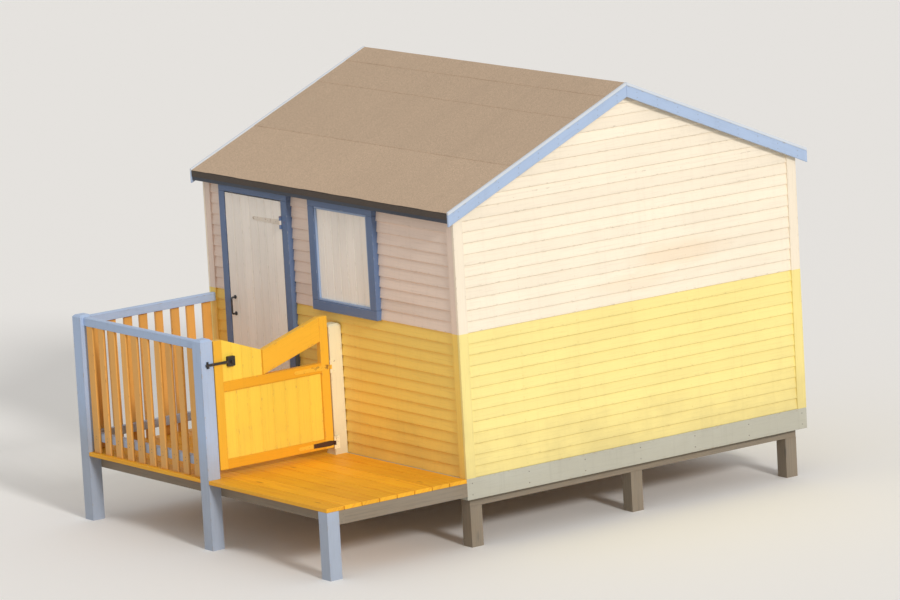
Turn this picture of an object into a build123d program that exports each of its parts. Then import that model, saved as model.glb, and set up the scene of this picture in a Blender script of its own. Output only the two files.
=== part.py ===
from build123d import *
import math
import os

os.makedirs("parts", exist_ok=True)

# Hut: outside sizes over the cladding, heights above the floor
hut_width = 3050
hut_depth = 3000
wall_plate_depth = 106
wall_thickness = 70
roof_rise = 654
floor_height = 500
floor_thickness = 22
floor_joist_width = 45
floor_joist_depth = 95
floor_joist_count = 8
bearer_size = 95
leg_size = 100
leg_rows = 3
leg_columns = 3
leg_inset = 60
skirting_depth = 150
skirting_thickness = 20

# Roof
roof_board_thickness = 18
felt_thickness = 4
felt_drop = 25
eave_overhang = 67
gable_overhang = 52
fascia_thickness = 20
fascia_depth = 50
bargeboard_thickness = 20
bargeboard_depth = 95
bargeboard_lap = 8
mitre_gap = 1
ridge_board_thickness = 25
ridge_board_depth = 120
rafter_width = 45
rafter_depth = 70
rafter_count = 6

# Doorway and window in the left wall: the doorway is set from the front corner, the window from the doorway
door_to_front = 305
door_opening_width = 700
door_opening_height = 1745
window_to_door = 395
window_opening_width = 625
window_opening_height = 670
lining_thickness = 25
architrave_width = 70
architrave_thickness = 30
threshold_height = 25
threshold_chamfer = 10
window_bead = 15

# Door
door_gap = 7
door_board_thickness = 20
ledge_width = 100
ledge_thickness = 28
ledge_inset = 35
door_ledge_margin = 150
brace_width = 90
joint_gap = 0.5

# Hinges
pin_radius = 4
pin_clearance = 0.3
knuckle_radius = 8
hinge_plate_thickness = 3
knuckle_length = 30
knuckle_gap = 0.5
hinge_clearance = 1
strap_width = 38
strap_tip_width = 24
door_strap_length = 340
hinge_plate_width = 45
gate_strap_length = 300

# Door pull
pull_height = 920
pull_inset = 60
pull_length = 120
pull_bar_radius = 7
pull_standoff = 35
pull_foot_radius = 14
pull_foot_thickness = 5

# Deck beside the left wall
deck_width = 1190
deck_thickness = 28
deck_joist_width = 45
deck_joist_depth = 95
deck_joist_count = 8

# Posts and balustrade
post_size = 100
post_chamfer = 14
gate_to_door = 545
left_post_height = 990
post_to_window = 75
rail_width = 45
rail_depth = 60
rail_drop = 15
rail_rounding = 8
bottom_rail_lift = 80
picket_width = 70
picket_thickness = 20
side_picket_count = 10
end_picket_count = 8

# Gate
gate_gap = 8
gate_thickness = 45
gate_lift = 55
gate_stile_width = 70
gate_left_stile_top = 970
gate_right_stile_top = 1000
gate_rail_width = 70
gate_mid_rail_top = 670
gate_board_thickness = 20
gate_dip_share = 0.41
gate_dip_height = 845
gate_latch_height = 810
latch_inset = 140
latch_bar_length = 215
latch_bar_depth = 18
latch_bar_thickness = 6
latch_case_width = 60
latch_case_depth = 70
latch_case_rounding = 6
latch_knob_radius = 11
latch_knob_length = 18
keeper_width = 18
keeper_rest_gap = 6
keeper_rest_thickness = 4

# Derived places: X runs along the back wall, Y from the back towards the sea
roof_slope = roof_rise / (hut_width / 2)
roof_pitch = math.degrees(math.atan(roof_slope))
board_rise = roof_board_thickness / math.cos(math.radians(roof_pitch))
felt_rise = felt_thickness / math.cos(math.radians(roof_pitch))
hut_left = (deck_width - hut_width - eave_overhang - felt_thickness) / 2
hut_right = hut_left + hut_width
ridge_x = hut_left + hut_width / 2
hut_back = -hut_depth / 2
hut_front = hut_depth / 2
inner_left = hut_left + wall_thickness
inner_back = hut_back + wall_thickness
inner_front = hut_front - wall_thickness
inner_depth = hut_depth - 2 * wall_thickness
plate_bottom = floor_height + door_opening_height + lining_thickness
wall_top = plate_bottom + wall_plate_depth
eave_x = hut_left - eave_overhang
soffit_at_eave = wall_top - eave_overhang * roof_slope
soffit_at_ridge = wall_top + roof_rise
joist_top = floor_height - floor_thickness
joist_bottom = joist_top - floor_joist_depth
bearer_bottom = joist_bottom - bearer_size
floor_width = hut_width - 2 * skirting_thickness
floor_depth = hut_depth - 2 * skirting_thickness

# Legs, in rows under the bearers
leg_span_x = hut_width - 2 * leg_inset - leg_size
leg_span_y = hut_depth - 2 * leg_inset - leg_size
with BuildPart() as hut_legs:
    with BuildSketch():
        with Locations((ridge_x, 0)):
            with GridLocations(leg_span_x / (leg_columns - 1), leg_span_y / (leg_rows - 1), leg_columns, leg_rows):
                Rectangle(leg_size, leg_size)
    extrude(amount=bearer_bottom)

with BuildPart() as bearers:
    with BuildSketch(Plane.XY.offset(bearer_bottom)):
        with Locations((ridge_x, 0)):
            with GridLocations(1, leg_span_y / (leg_rows - 1), 1, leg_rows):
                Rectangle(leg_span_x + leg_size, bearer_size)
    extrude(amount=bearer_size)

# Floor on its joists
joist_span = floor_width - floor_joist_width
with BuildPart() as floor_joists:
    with BuildSketch(Plane.XY.offset(joist_bottom)):
        with Locations((ridge_x, 0)):
            with GridLocations(joist_span / (floor_joist_count - 1), 1, floor_joist_count, 1):
                Rectangle(floor_joist_width, floor_depth)
    extrude(amount=floor_joist_depth)

with BuildPart() as hut_floor:
    with BuildSketch(Plane.XY.offset(joist_top)):
        with Locations((ridge_x, 0)):
            Rectangle(floor_width, floor_depth)
    extrude(amount=floor_thickness)

# Skirting boards: back and front run the full width, the sides fit between them
skirting_bottom = floor_height - skirting_depth
with BuildPart() as skirting_gables:
    with BuildSketch(Plane.XY.offset(skirting_bottom)):
        with Locations((ridge_x, 0)):
            with GridLocations(1, hut_depth - skirting_thickness, 1, 2):
                Rectangle(hut_width, skirting_thickness)
    extrude(amount=skirting_depth)

with BuildPart() as skirting_sides:
    with BuildSketch(Plane.XY.offset(skirting_bottom)):
        with Locations((ridge_x, 0)):
            with GridLocations(hut_width - skirting_thickness, 1, 2, 1):
                Rectangle(skirting_thickness, floor_depth)
    extrude(amount=skirting_depth)

# Gable walls up to the roof boards
with BuildPart() as wall_back:
    with BuildSketch(Plane.XZ.offset(-hut_back)):
        with BuildLine():
            Polyline(
                (hut_left, floor_height),
                (hut_right, floor_height),
                (hut_right, wall_top),
                (ridge_x, soffit_at_ridge),
                (hut_left, wall_top),
                close=True,
            )
        make_face()
    extrude(amount=-wall_thickness)

with BuildPart() as wall_front:
    mirror(wall_back.part, about=Plane.XZ)

# Side walls: a plate along the top with its upper face on the roof's slope, wall below it
with BuildPart() as wall_plates:
    with BuildSketch(Plane.XZ.offset(-inner_back)):
        with BuildLine():
            Polyline(
                (hut_left, plate_bottom),
                (inner_left, plate_bottom),
                (inner_left, wall_top + wall_thickness * roof_slope),
                (hut_left, wall_top),
                close=True,
            )
        make_face()
    extrude(amount=-inner_depth)
    mirror(about=Plane.YZ.offset(ridge_x))

side_wall_height = plate_bottom - floor_height
with BuildPart() as wall_right:
    with BuildSketch(Plane.XY.offset(floor_height)):
        with Locations((hut_right - wall_thickness / 2, 0)):
            Rectangle(wall_thickness, inner_depth)
    extrude(amount=side_wall_height)

door_end = hut_front - door_to_front
door_start = door_end - door_opening_width
door_top = floor_height + door_opening_height
window_end = door_start - window_to_door
window_start = window_end - window_opening_width
window_bottom = door_top - window_opening_height
wall_left_x = hut_left + wall_thickness / 2

with BuildPart() as wall_left_rear:
    with BuildSketch(Plane.XY.offset(floor_height)):
        with Locations((wall_left_x, inner_back)):
            Rectangle(wall_thickness, window_start - lining_thickness - inner_back, align=(Align.CENTER, Align.MIN))
    extrude(amount=side_wall_height)

with BuildPart() as wall_left_under_window:
    with BuildSketch(Plane.XY.offset(floor_height)):
        with Locations((wall_left_x, window_start - lining_thickness)):
            Rectangle(
                wall_thickness,
                window_opening_width + 2 * lining_thickness,
                align=(Align.CENTER, Align.MIN),
            )
    extrude(amount=window_bottom - lining_thickness - floor_height)

with BuildPart() as wall_left_middle:
    with BuildSketch(Plane.XY.offset(floor_height)):
        with Locations((wall_left_x, window_end + lining_thickness)):
            Rectangle(
                wall_thickness,
                door_start - window_end - 2 * lining_thickness,
                align=(Align.CENTER, Align.MIN),
            )
    extrude(amount=side_wall_height)

with BuildPart() as wall_left_front:
    with BuildSketch(Plane.XY.offset(floor_height)):
        with Locations((wall_left_x, door_end + lining_thickness)):
            Rectangle(
                wall_thickness,
                inner_front - door_end - lining_thickness,
                align=(Align.CENTER, Align.MIN),
            )
    extrude(amount=side_wall_height)

# Window: lining through the wall with an architrave round it, and a boarded shutter held by a bead
architrave_face = hut_left - architrave_thickness
shutter_face = hut_left - architrave_thickness / 3
window_middle_y = window_start + window_opening_width / 2
window_middle_z = (window_bottom + door_top) / 2
with BuildPart() as window_frame:
    with BuildSketch(Plane.YZ.offset(hut_left)):
        with Locations((window_middle_y, window_middle_z)):
            Rectangle(window_opening_width + 2 * lining_thickness, window_opening_height + 2 * lining_thickness)
            Rectangle(window_opening_width, window_opening_height, mode=Mode.SUBTRACT)
    extrude(amount=wall_thickness)
    with BuildSketch(Plane.YZ.offset(hut_left)):
        with Locations((window_middle_y, window_middle_z)):
            Rectangle(window_opening_width + 2 * architrave_width, window_opening_height + 2 * architrave_width)
            Rectangle(window_opening_width, window_opening_height, mode=Mode.SUBTRACT)
    extrude(amount=-architrave_thickness)
    with BuildSketch(Plane.YZ.offset(shutter_face)):
        with Locations((window_middle_y, window_middle_z)):
            Rectangle(window_opening_width, window_opening_height)
            Rectangle(
                window_opening_width - 2 * window_bead,
                window_opening_height - 2 * window_bead,
                mode=Mode.SUBTRACT,
            )
    extrude(amount=-window_bead)

with BuildPart() as window_shutter:
    with BuildSketch(Plane.YZ.offset(shutter_face)):
        with Locations((window_middle_y, window_middle_z)):
            Rectangle(window_opening_width, window_opening_height)
    extrude(amount=door_board_thickness)
    with BuildSketch(Plane.YZ.offset(shutter_face + door_board_thickness)):
        with Locations((window_middle_y, window_middle_z)):
            with GridLocations(1, window_opening_height - 2 * ledge_width, 1, 2):
                Rectangle(window_opening_width - 2 * ledge_inset, ledge_width)
    extrude(amount=ledge_thickness)

# Door frame: two jambs and a head in one, each a lining with its architrave, and the threshold
door_middle_y = door_start + door_opening_width / 2
with BuildPart() as door_frame:
    with BuildSketch(Plane.YZ.offset(hut_left)):
        with Locations((door_middle_y, floor_height)):
            Rectangle(
                door_opening_width + 2 * lining_thickness,
                door_opening_height + lining_thickness,
                align=(Align.CENTER, Align.MIN),
            )
            Rectangle(
                door_opening_width,
                door_opening_height,
                align=(Align.CENTER, Align.MIN),
                mode=Mode.SUBTRACT,
            )
    extrude(amount=wall_thickness)
    with BuildSketch(Plane.YZ.offset(hut_left)):
        with Locations((door_middle_y, floor_height)):
            Rectangle(
                door_opening_width + 2 * architrave_width,
                door_opening_height + architrave_width,
                align=(Align.CENTER, Align.MIN),
            )
            Rectangle(
                door_opening_width,
                door_opening_height,
                align=(Align.CENTER, Align.MIN),
                mode=Mode.SUBTRACT,
            )
    extrude(amount=-architrave_thickness)

with BuildPart() as door_threshold:
    with BuildSketch(Plane.XY.offset(floor_height)):
        with Locations((architrave_face, door_middle_y)):
            Rectangle(
                architrave_thickness + wall_thickness,
                door_opening_width,
                align=(Align.MIN, Align.CENTER),
            )
    extrude(amount=threshold_height)
    chamfer(door_threshold.edges().group_by(Axis.Z)[-1].sort_by(Axis.X)[0], threshold_chamfer)

# Door: boards flush with the architrave, ledges and a brace behind them
leaf_start = door_start + door_gap
leaf_width = door_opening_width - 2 * door_gap
leaf_bottom = floor_height + threshold_height + door_gap
leaf_top = door_top - door_gap
leaf_height = leaf_top - leaf_bottom
with BuildPart() as door_boards:
    with BuildSketch(Plane.YZ.offset(architrave_face)):
        with Locations((door_middle_y, leaf_bottom + leaf_height / 2)):
            Rectangle(leaf_width, leaf_height)
    extrude(amount=door_board_thickness)

ledge_x = architrave_face + door_board_thickness
ledge_length = leaf_width - 2 * ledge_inset
ledge_span = leaf_height - 2 * door_ledge_margin
brace_rise = ledge_span / 2 - ledge_width - 2 * joint_gap

# Braces rise from the hinge side towards the latch side between the ledges
with BuildSketch() as door_brace_outline:
    with BuildLine():
        Polyline(
            (-ledge_length / 2, -brace_rise / 2),
            (brace_width - ledge_length / 2, -brace_rise / 2),
            (ledge_length / 2, brace_rise / 2),
            (ledge_length / 2 - brace_width, brace_rise / 2),
            close=True,
        )
    make_face()

with BuildPart() as door_ledges:
    with BuildSketch(Plane.YZ.offset(ledge_x)):
        with Locations((door_middle_y, leaf_bottom + leaf_height / 2)):
            with GridLocations(1, ledge_span / 2, 1, 3):
                Rectangle(ledge_length, ledge_width)
            with GridLocations(1, ledge_span / 2, 1, 2):
                add(door_brace_outline.sketch)
    extrude(amount=ledge_thickness)

# Door hinges: straps with the middle knuckles
door_pin_x = architrave_face - hinge_clearance - knuckle_radius
door_pin_y = door_start + door_gap / 2
door_hinge_heights = (leaf_bottom + door_ledge_margin, leaf_top - door_ledge_margin)
hinge_height = 3 * knuckle_length + 2 * knuckle_gap
with BuildSketch() as door_strap_outline:
    with BuildLine():
        Polyline(
            (0, -knuckle_length / 2),
            (2 * knuckle_radius, -knuckle_length / 2),
            (strap_width, -strap_width / 2),
            (door_strap_length, -strap_tip_width / 2),
            (door_strap_length + strap_tip_width / 2, 0),
            (door_strap_length, strap_tip_width / 2),
            (strap_width, strap_width / 2),
            (2 * knuckle_radius, knuckle_length / 2),
            (0, knuckle_length / 2),
            close=True,
        )
    make_face()

with BuildPart() as door_straps:
    for z in door_hinge_heights:
        with BuildSketch(Plane.YZ.offset(architrave_face)):
            with Locations((door_pin_y, z)):
                add(door_strap_outline.sketch)
        extrude(amount=-hinge_plate_thickness)
        with BuildSketch(Plane.XY.offset(z - knuckle_length / 2)):
            with Locations((door_pin_x, door_pin_y)):
                Circle(knuckle_radius)
        extrude(amount=knuckle_length)
        with BuildSketch(Plane.XY.offset(z - knuckle_length / 2)):
            with Locations((door_pin_x, door_pin_y)):
                Circle(pin_radius + pin_clearance)
        extrude(amount=knuckle_length, mode=Mode.SUBTRACT)

# Door pull: a round bar bent between two feet
pull_y = leaf_start + leaf_width - pull_inset
pull_bottom = floor_height + pull_height - pull_length / 2
with BuildPart() as door_pull:
    with BuildSketch(Plane.YZ.offset(architrave_face)):
        with Locations((pull_y, floor_height + pull_height)):
            with GridLocations(1, pull_length, 1, 2):
                Circle(pull_foot_radius)
    extrude(amount=-pull_foot_thickness)
    with BuildLine() as pull_path:
        FilletPolyline(
            (architrave_face, pull_y, pull_bottom),
            (architrave_face - pull_standoff, pull_y, pull_bottom),
            (architrave_face - pull_standoff, pull_y, pull_bottom + pull_length),
            (architrave_face, pull_y, pull_bottom + pull_length),
            radius=2 * pull_bar_radius,
        )
    with BuildSketch(Plane(origin=pull_path.line @ 0, z_dir=pull_path.line % 0)):
        Circle(pull_bar_radius)
    sweep(path=pull_path.line)

# Roof framing
with BuildPart() as ridge_board:
    with BuildSketch(Plane.XZ.offset(-inner_back)):
        with BuildLine():
            Polyline(
                (ridge_x - ridge_board_thickness / 2, soffit_at_ridge - ridge_board_depth),
                (ridge_x + ridge_board_thickness / 2, soffit_at_ridge - ridge_board_depth),
                (
                    ridge_x + ridge_board_thickness / 2,
                    soffit_at_ridge - ridge_board_thickness / 2 * roof_slope,
                ),
                (ridge_x, soffit_at_ridge),
                (
                    ridge_x - ridge_board_thickness / 2,
                    soffit_at_ridge - ridge_board_thickness / 2 * roof_slope,
                ),
                close=True,
            )
        make_face()
    extrude(amount=-inner_depth)

rafter_head_x = ridge_x - ridge_board_thickness / 2
rafter_drop = rafter_depth / math.cos(math.radians(roof_pitch))
rafter_foot_z = wall_top + wall_thickness * roof_slope
rafter_head_z = soffit_at_ridge - ridge_board_thickness / 2 * roof_slope
rafter_pitch_y = inner_depth / (rafter_count + 1)
with BuildPart() as rafters:
    for i in range(rafter_count):
        with BuildSketch(Plane.XZ.offset(-inner_back - rafter_pitch_y * (i + 1) - rafter_width / 2)):
            with BuildLine():
                Polyline(
                    (inner_left, rafter_foot_z),
                    (inner_left, rafter_foot_z - rafter_drop),
                    (rafter_head_x, rafter_head_z - rafter_drop),
                    (rafter_head_x, rafter_head_z),
                    close=True,
                )
            make_face()
        extrude(amount=rafter_width)
    mirror(about=Plane.YZ.offset(ridge_x))

# Roof boards and felt, the felt turned down over the fascia
roof_back = hut_back - gable_overhang + bargeboard_thickness
roof_length = hut_depth + 2 * (gable_overhang - bargeboard_thickness)
with BuildPart() as roof_boards_left:
    with BuildSketch(Plane.XZ.offset(-roof_back)):
        with BuildLine():
            Polyline(
                (eave_x, soffit_at_eave),
                (ridge_x, soffit_at_ridge),
                (ridge_x, soffit_at_ridge + board_rise),
                (eave_x, soffit_at_eave + board_rise),
                close=True,
            )
        make_face()
    extrude(amount=-roof_length)

with BuildPart() as roof_boards_right:
    mirror(roof_boards_left.part, about=Plane.YZ.offset(ridge_x))

felt_edge_x = eave_x - felt_thickness
with BuildPart() as felt_left:
    with BuildSketch(Plane.XZ.offset(-roof_back)):
        with BuildLine():
            Polyline(
                (eave_x, soffit_at_eave + board_rise),
                (ridge_x, soffit_at_ridge + board_rise),
                (ridge_x, soffit_at_ridge + board_rise + felt_rise),
                (felt_edge_x, soffit_at_eave + board_rise + felt_rise - felt_thickness * roof_slope),
                (felt_edge_x, soffit_at_eave - felt_drop),
                (eave_x, soffit_at_eave - felt_drop),
                close=True,
            )
        make_face()
    extrude(amount=-roof_length)

with BuildPart() as felt_right:
    mirror(felt_left.part, about=Plane.YZ.offset(ridge_x))

with BuildPart() as fascias:
    with BuildSketch(Plane.XZ.offset(-roof_back)):
        with BuildLine():
            Polyline(
                (eave_x, soffit_at_eave - fascia_depth),
                (eave_x + fascia_thickness, soffit_at_eave - fascia_depth),
                (eave_x + fascia_thickness, soffit_at_eave + fascia_thickness * roof_slope),
                (eave_x, soffit_at_eave),
                close=True,
            )
        make_face()
    extrude(amount=-roof_length)
    mirror(about=Plane.YZ.offset(ridge_x))

# Bargeboards, lapping over the felt's edge and mitred at the ridge
barge_drop = bargeboard_depth / math.cos(math.radians(roof_pitch))
barge_top_eave = soffit_at_eave + board_rise + felt_rise + bargeboard_lap - felt_thickness * roof_slope
barge_top_ridge = soffit_at_ridge + board_rise + felt_rise + bargeboard_lap
with BuildPart() as bargeboards_back:
    with BuildSketch(Plane.XZ.offset(gable_overhang - hut_back)):
        with BuildLine():
            Polyline(
                (felt_edge_x, barge_top_eave),
                (ridge_x - mitre_gap / 2, barge_top_ridge),
                (ridge_x - mitre_gap / 2, barge_top_ridge - barge_drop),
                (felt_edge_x, barge_top_eave - barge_drop),
                close=True,
            )
        make_face()
    extrude(amount=-bargeboard_thickness)
    mirror(about=Plane.YZ.offset(ridge_x))

with BuildPart() as bargeboards_front:
    mirror(bargeboards_back.part, about=Plane.XZ)

# Side deck: ledger on the hut, rim inside the posts, joists between them
deck_left = hut_left - deck_width
deck_under = floor_height - deck_thickness
deck_joist_bottom = deck_under - deck_joist_depth
post_x = deck_left + post_size / 2
post_inner_x = deck_left + post_size
gate_post_y = door_start - gate_to_door
gate_post_back = gate_post_y - post_size / 2
end_post_y = hut_front - post_size / 2
with BuildPart() as deck_floor:
    with BuildSketch(Plane.XY.offset(deck_under)):
        with Locations((deck_left, 0)):
            Rectangle(deck_width, hut_depth, align=(Align.MIN, Align.CENTER))
        with Locations((post_x, gate_post_y), (post_x, end_post_y)):
            Rectangle(post_size, post_size, mode=Mode.SUBTRACT)
    extrude(amount=deck_thickness)

with BuildPart() as deck_beams:
    with BuildSketch(Plane.XY.offset(deck_joist_bottom)):
        with Locations((hut_left, 0)):
            Rectangle(deck_joist_width, hut_depth, align=(Align.MAX, Align.CENTER))
        with Locations((post_inner_x, 0)):
            Rectangle(deck_joist_width, hut_depth, align=(Align.MIN, Align.CENTER))
    extrude(amount=deck_joist_depth)

deck_joist_start = post_inner_x + deck_joist_width
deck_joist_length = hut_left - deck_joist_width - deck_joist_start
deck_joist_span = hut_depth - deck_joist_width
with BuildPart() as deck_joists:
    with BuildSketch(Plane.XY.offset(deck_joist_bottom)):
        with Locations((deck_joist_start + deck_joist_length / 2, 0)):
            with GridLocations(1, deck_joist_span / (deck_joist_count - 1), 1, deck_joist_count):
                Rectangle(deck_joist_length, deck_joist_width)
    extrude(amount=deck_joist_depth)

# Posts: the rear one stops under the deck, the gate's and the end one carry the balustrade
with BuildPart() as deck_posts:
    with BuildSketch():
        with Locations((post_x, hut_back + post_size / 2)):
            Rectangle(post_size, post_size)
    extrude(amount=deck_under)
    with BuildSketch():
        with Locations((post_x, gate_post_y), (post_x, end_post_y)):
            Rectangle(post_size, post_size)
    extrude(amount=floor_height + left_post_height)
    chamfer(deck_posts.edges().group_by(Axis.Z)[-1], post_chamfer)

# The post at the hut wall stops under the window's frame
wall_post_top = window_bottom - architrave_width - post_to_window
with BuildPart() as gate_wall_post:
    with BuildSketch(Plane.XY.offset(floor_height)):
        with Locations((hut_left - post_size / 2, gate_post_y)):
            Rectangle(post_size, post_size)
    extrude(amount=wall_post_top - floor_height)
    chamfer(gate_wall_post.edges().group_by(Axis.Z)[-1].sort_by(Axis.X)[:-1], post_chamfer)

# Balustrade: rails between the posts and from the end post to the hut
rail_top = floor_height + left_post_height - rail_drop
rail_bottom = rail_top - rail_depth
low_rail_bottom = floor_height + bottom_rail_lift
side_rail_start = gate_post_y + post_size / 2
side_rail_length = end_post_y - post_size / 2 - side_rail_start
side_rail_middle = side_rail_start + side_rail_length / 2
end_rail_length = deck_width - post_size
end_rail_middle = post_inner_x + end_rail_length / 2
with BuildPart() as deck_rails:
    with BuildSketch(Plane.XY.offset(rail_bottom)):
        with Locations((post_x, side_rail_middle)):
            Rectangle(rail_width, side_rail_length)
        with Locations((end_rail_middle, end_post_y)):
            Rectangle(end_rail_length, rail_width)
    extrude(amount=rail_depth)
    rail_edges = deck_rails.edges().group_by(Axis.Z)[-1]
    fillet(rail_edges.filter_by(lambda edge: edge.length > 2 * rail_width), rail_rounding)
    with BuildSketch(Plane.XY.offset(low_rail_bottom)):
        with Locations((post_x + picket_thickness, side_rail_middle)):
            Rectangle(rail_width, side_rail_length)
        with Locations((end_rail_middle, end_post_y - picket_thickness)):
            Rectangle(end_rail_length, rail_width)
    extrude(amount=rail_depth)

# Pickets stand on the deck under the top rail, against the outer face of the bottom rail
side_picket_x = post_x - rail_width / 2 + picket_thickness / 2
end_picket_y = end_post_y + rail_width / 2 - picket_thickness / 2
picket_height = rail_bottom - floor_height
with BuildPart() as side_pickets:
    with BuildSketch(Plane.XY.offset(floor_height)):
        with Locations((side_picket_x, side_rail_middle)):
            with GridLocations(1, side_rail_length / side_picket_count, 1, side_picket_count):
                Rectangle(picket_thickness, picket_width)
    extrude(amount=picket_height)

with BuildPart() as end_pickets:
    with BuildSketch(Plane.XY.offset(floor_height)):
        with Locations((end_rail_middle, end_picket_y)):
            with GridLocations(end_rail_length / end_picket_count, 1, end_picket_count, 1):
                Rectangle(picket_width, picket_thickness)
    extrude(amount=picket_height)

# Gate: its outward face is flush with the posts' faces towards the back
gate_start = post_inner_x + gate_gap
gate_end = hut_left - post_size - gate_gap
gate_width = gate_end - gate_start
gate_bottom = floor_height + gate_lift
gate_face = gate_post_back
left_stile_end = gate_start + gate_stile_width
right_stile_start = gate_end - gate_stile_width
mid_rail_top = floor_height + gate_mid_rail_top
with BuildPart() as gate_stiles:
    with BuildSketch(Plane.XZ.offset(-gate_face)):
        with Locations((gate_start, gate_bottom)):
            Rectangle(
                gate_stile_width,
                floor_height + gate_left_stile_top - gate_bottom,
                align=(Align.MIN, Align.MIN),
            )
        with Locations((gate_end, gate_bottom)):
            Rectangle(
                gate_stile_width,
                floor_height + gate_right_stile_top - gate_bottom,
                align=(Align.MAX, Align.MIN),
            )
    extrude(amount=-gate_thickness)

gate_rail_length = right_stile_start - left_stile_end
gate_middle_x = left_stile_end + gate_rail_length / 2
with BuildPart() as gate_rails:
    with BuildSketch(Plane.XZ.offset(-gate_face)):
        with Locations((gate_middle_x, gate_bottom), (gate_middle_x, mid_rail_top - gate_rail_width)):
            Rectangle(gate_rail_length, gate_rail_width, align=(Align.CENTER, Align.MIN))
    extrude(amount=-gate_thickness)

gate_panel_bottom = gate_bottom + gate_rail_width
gate_panel_height = mid_rail_top - gate_rail_width - gate_panel_bottom
gate_board_face = gate_face + (gate_thickness - gate_board_thickness) / 2

# Gate boards: below the middle rail, and above it on the latch side, cut down to a dip
gate_dip_x = left_stile_end + gate_rail_length * gate_dip_share
gate_dip_z = floor_height + gate_dip_height
with BuildPart() as gate_boards:
    with BuildSketch(Plane.XZ.offset(-gate_board_face)):
        with Locations((gate_middle_x, gate_panel_bottom)):
            Rectangle(gate_rail_length, gate_panel_height, align=(Align.CENTER, Align.MIN))
        with BuildLine():
            Polyline(
                (left_stile_end, mid_rail_top),
                (gate_dip_x, mid_rail_top),
                (gate_dip_x, gate_dip_z),
                (left_stile_end, floor_height + gate_left_stile_top),
                close=True,
            )
        make_face()
    extrude(amount=-gate_board_thickness)

# Brace from the middle rail at the dip up to the hinge stile
brace_top_z = floor_height + gate_right_stile_top
with BuildPart() as gate_brace:
    with BuildSketch(Plane.XZ.offset(-gate_face)):
        with BuildLine():
            Polyline(
                (gate_dip_x, mid_rail_top),
                (right_stile_start, mid_rail_top + brace_top_z - gate_dip_z),
                (right_stile_start, brace_top_z),
                (gate_dip_x, gate_dip_z),
                close=True,
            )
        make_face()
    extrude(amount=-gate_thickness)

# Gate hinges: plates and pins on the post at the hut wall, straps on the gate
gate_pin_x = gate_end + gate_gap / 2
gate_pin_y = gate_face - hinge_clearance - knuckle_radius
gate_hinge_heights = (gate_bottom + gate_rail_width / 2, mid_rail_top - gate_rail_width / 2)
with BuildSketch() as gate_strap_outline:
    with BuildLine():
        Polyline(
            (0, -knuckle_length / 2),
            (-2 * knuckle_radius, -knuckle_length / 2),
            (-strap_width, -strap_width / 2),
            (-gate_strap_length, -strap_tip_width / 2),
            (-gate_strap_length - strap_tip_width / 2, 0),
            (-gate_strap_length, strap_tip_width / 2),
            (-strap_width, strap_width / 2),
            (-2 * knuckle_radius, knuckle_length / 2),
            (0, knuckle_length / 2),
            close=True,
        )
    make_face()

with BuildPart() as gate_straps:
    for z in gate_hinge_heights:
        with BuildSketch(Plane.XZ.offset(-gate_face)):
            with Locations((gate_pin_x, z)):
                add(gate_strap_outline.sketch)
        extrude(amount=hinge_plate_thickness)
        with BuildSketch(Plane.XY.offset(z - knuckle_length / 2)):
            with Locations((gate_pin_x, gate_pin_y)):
                Circle(knuckle_radius)
        extrude(amount=knuckle_length)
        with BuildSketch(Plane.XY.offset(z - knuckle_length / 2)):
            with Locations((gate_pin_x, gate_pin_y)):
                Circle(pin_radius + pin_clearance)
        extrude(amount=knuckle_length, mode=Mode.SUBTRACT)

# Plates, outer knuckles and pins of both pairs of hinges, on the jamb and on the wall post
with BuildPart() as hinge_plates:
    for z in door_hinge_heights:
        with BuildSketch(Plane.YZ.offset(architrave_face)):
            with Locations((door_pin_y, z)):
                Rectangle(hinge_plate_width, hinge_height, align=(Align.MAX, Align.CENTER))
        extrude(amount=-hinge_plate_thickness)
        with BuildSketch(Plane.XY.offset(z - hinge_height / 2)):
            with Locations((door_pin_x, door_pin_y)):
                Circle(knuckle_radius)
        extrude(amount=hinge_height)
        with BuildSketch(Plane.XY.offset(z - knuckle_length / 2 - knuckle_gap)):
            with Locations((door_pin_x, door_pin_y)):
                Circle(knuckle_radius + 2 * hinge_clearance)
                Circle(pin_radius, mode=Mode.SUBTRACT)
        extrude(amount=knuckle_length + 2 * knuckle_gap, mode=Mode.SUBTRACT)
    for z in gate_hinge_heights:
        with BuildSketch(Plane.XZ.offset(-gate_face)):
            with Locations((gate_pin_x, z)):
                Rectangle(hinge_plate_width, hinge_height, align=(Align.MIN, Align.CENTER))
        extrude(amount=hinge_plate_thickness)
        with BuildSketch(Plane.XY.offset(z - hinge_height / 2)):
            with Locations((gate_pin_x, gate_pin_y)):
                Circle(knuckle_radius)
        extrude(amount=hinge_height)
        with BuildSketch(Plane.XY.offset(z - knuckle_length / 2 - knuckle_gap)):
            with Locations((gate_pin_x, gate_pin_y)):
                Circle(knuckle_radius + 2 * hinge_clearance)
                Circle(pin_radius, mode=Mode.SUBTRACT)
        extrude(amount=knuckle_length + 2 * knuckle_gap, mode=Mode.SUBTRACT)

# Gate latch: a case on the boards with a knob, its bar reaching over the keeper on the post
latch_x = gate_start + latch_inset
latch_z = floor_height + gate_latch_height
latch_face = gate_face - 2 * latch_bar_thickness
with BuildPart() as gate_latch:
    with BuildSketch(Plane.XZ.offset(-gate_board_face)):
        with Locations((latch_x, latch_z)):
            RectangleRounded(latch_case_width, latch_case_depth, latch_case_rounding)
    extrude(amount=gate_board_face - latch_face)
    with BuildSketch(Plane.XZ.offset(-latch_face)):
        with Locations((latch_x, latch_z)):
            Circle(latch_knob_radius)
    extrude(amount=latch_knob_length)
    with BuildSketch(Plane.XZ.offset(-latch_face)):
        with Locations((latch_x, latch_z)):
            Rectangle(latch_bar_length, latch_bar_depth, align=(Align.MAX, Align.CENTER))
    extrude(amount=-latch_bar_thickness)

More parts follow.
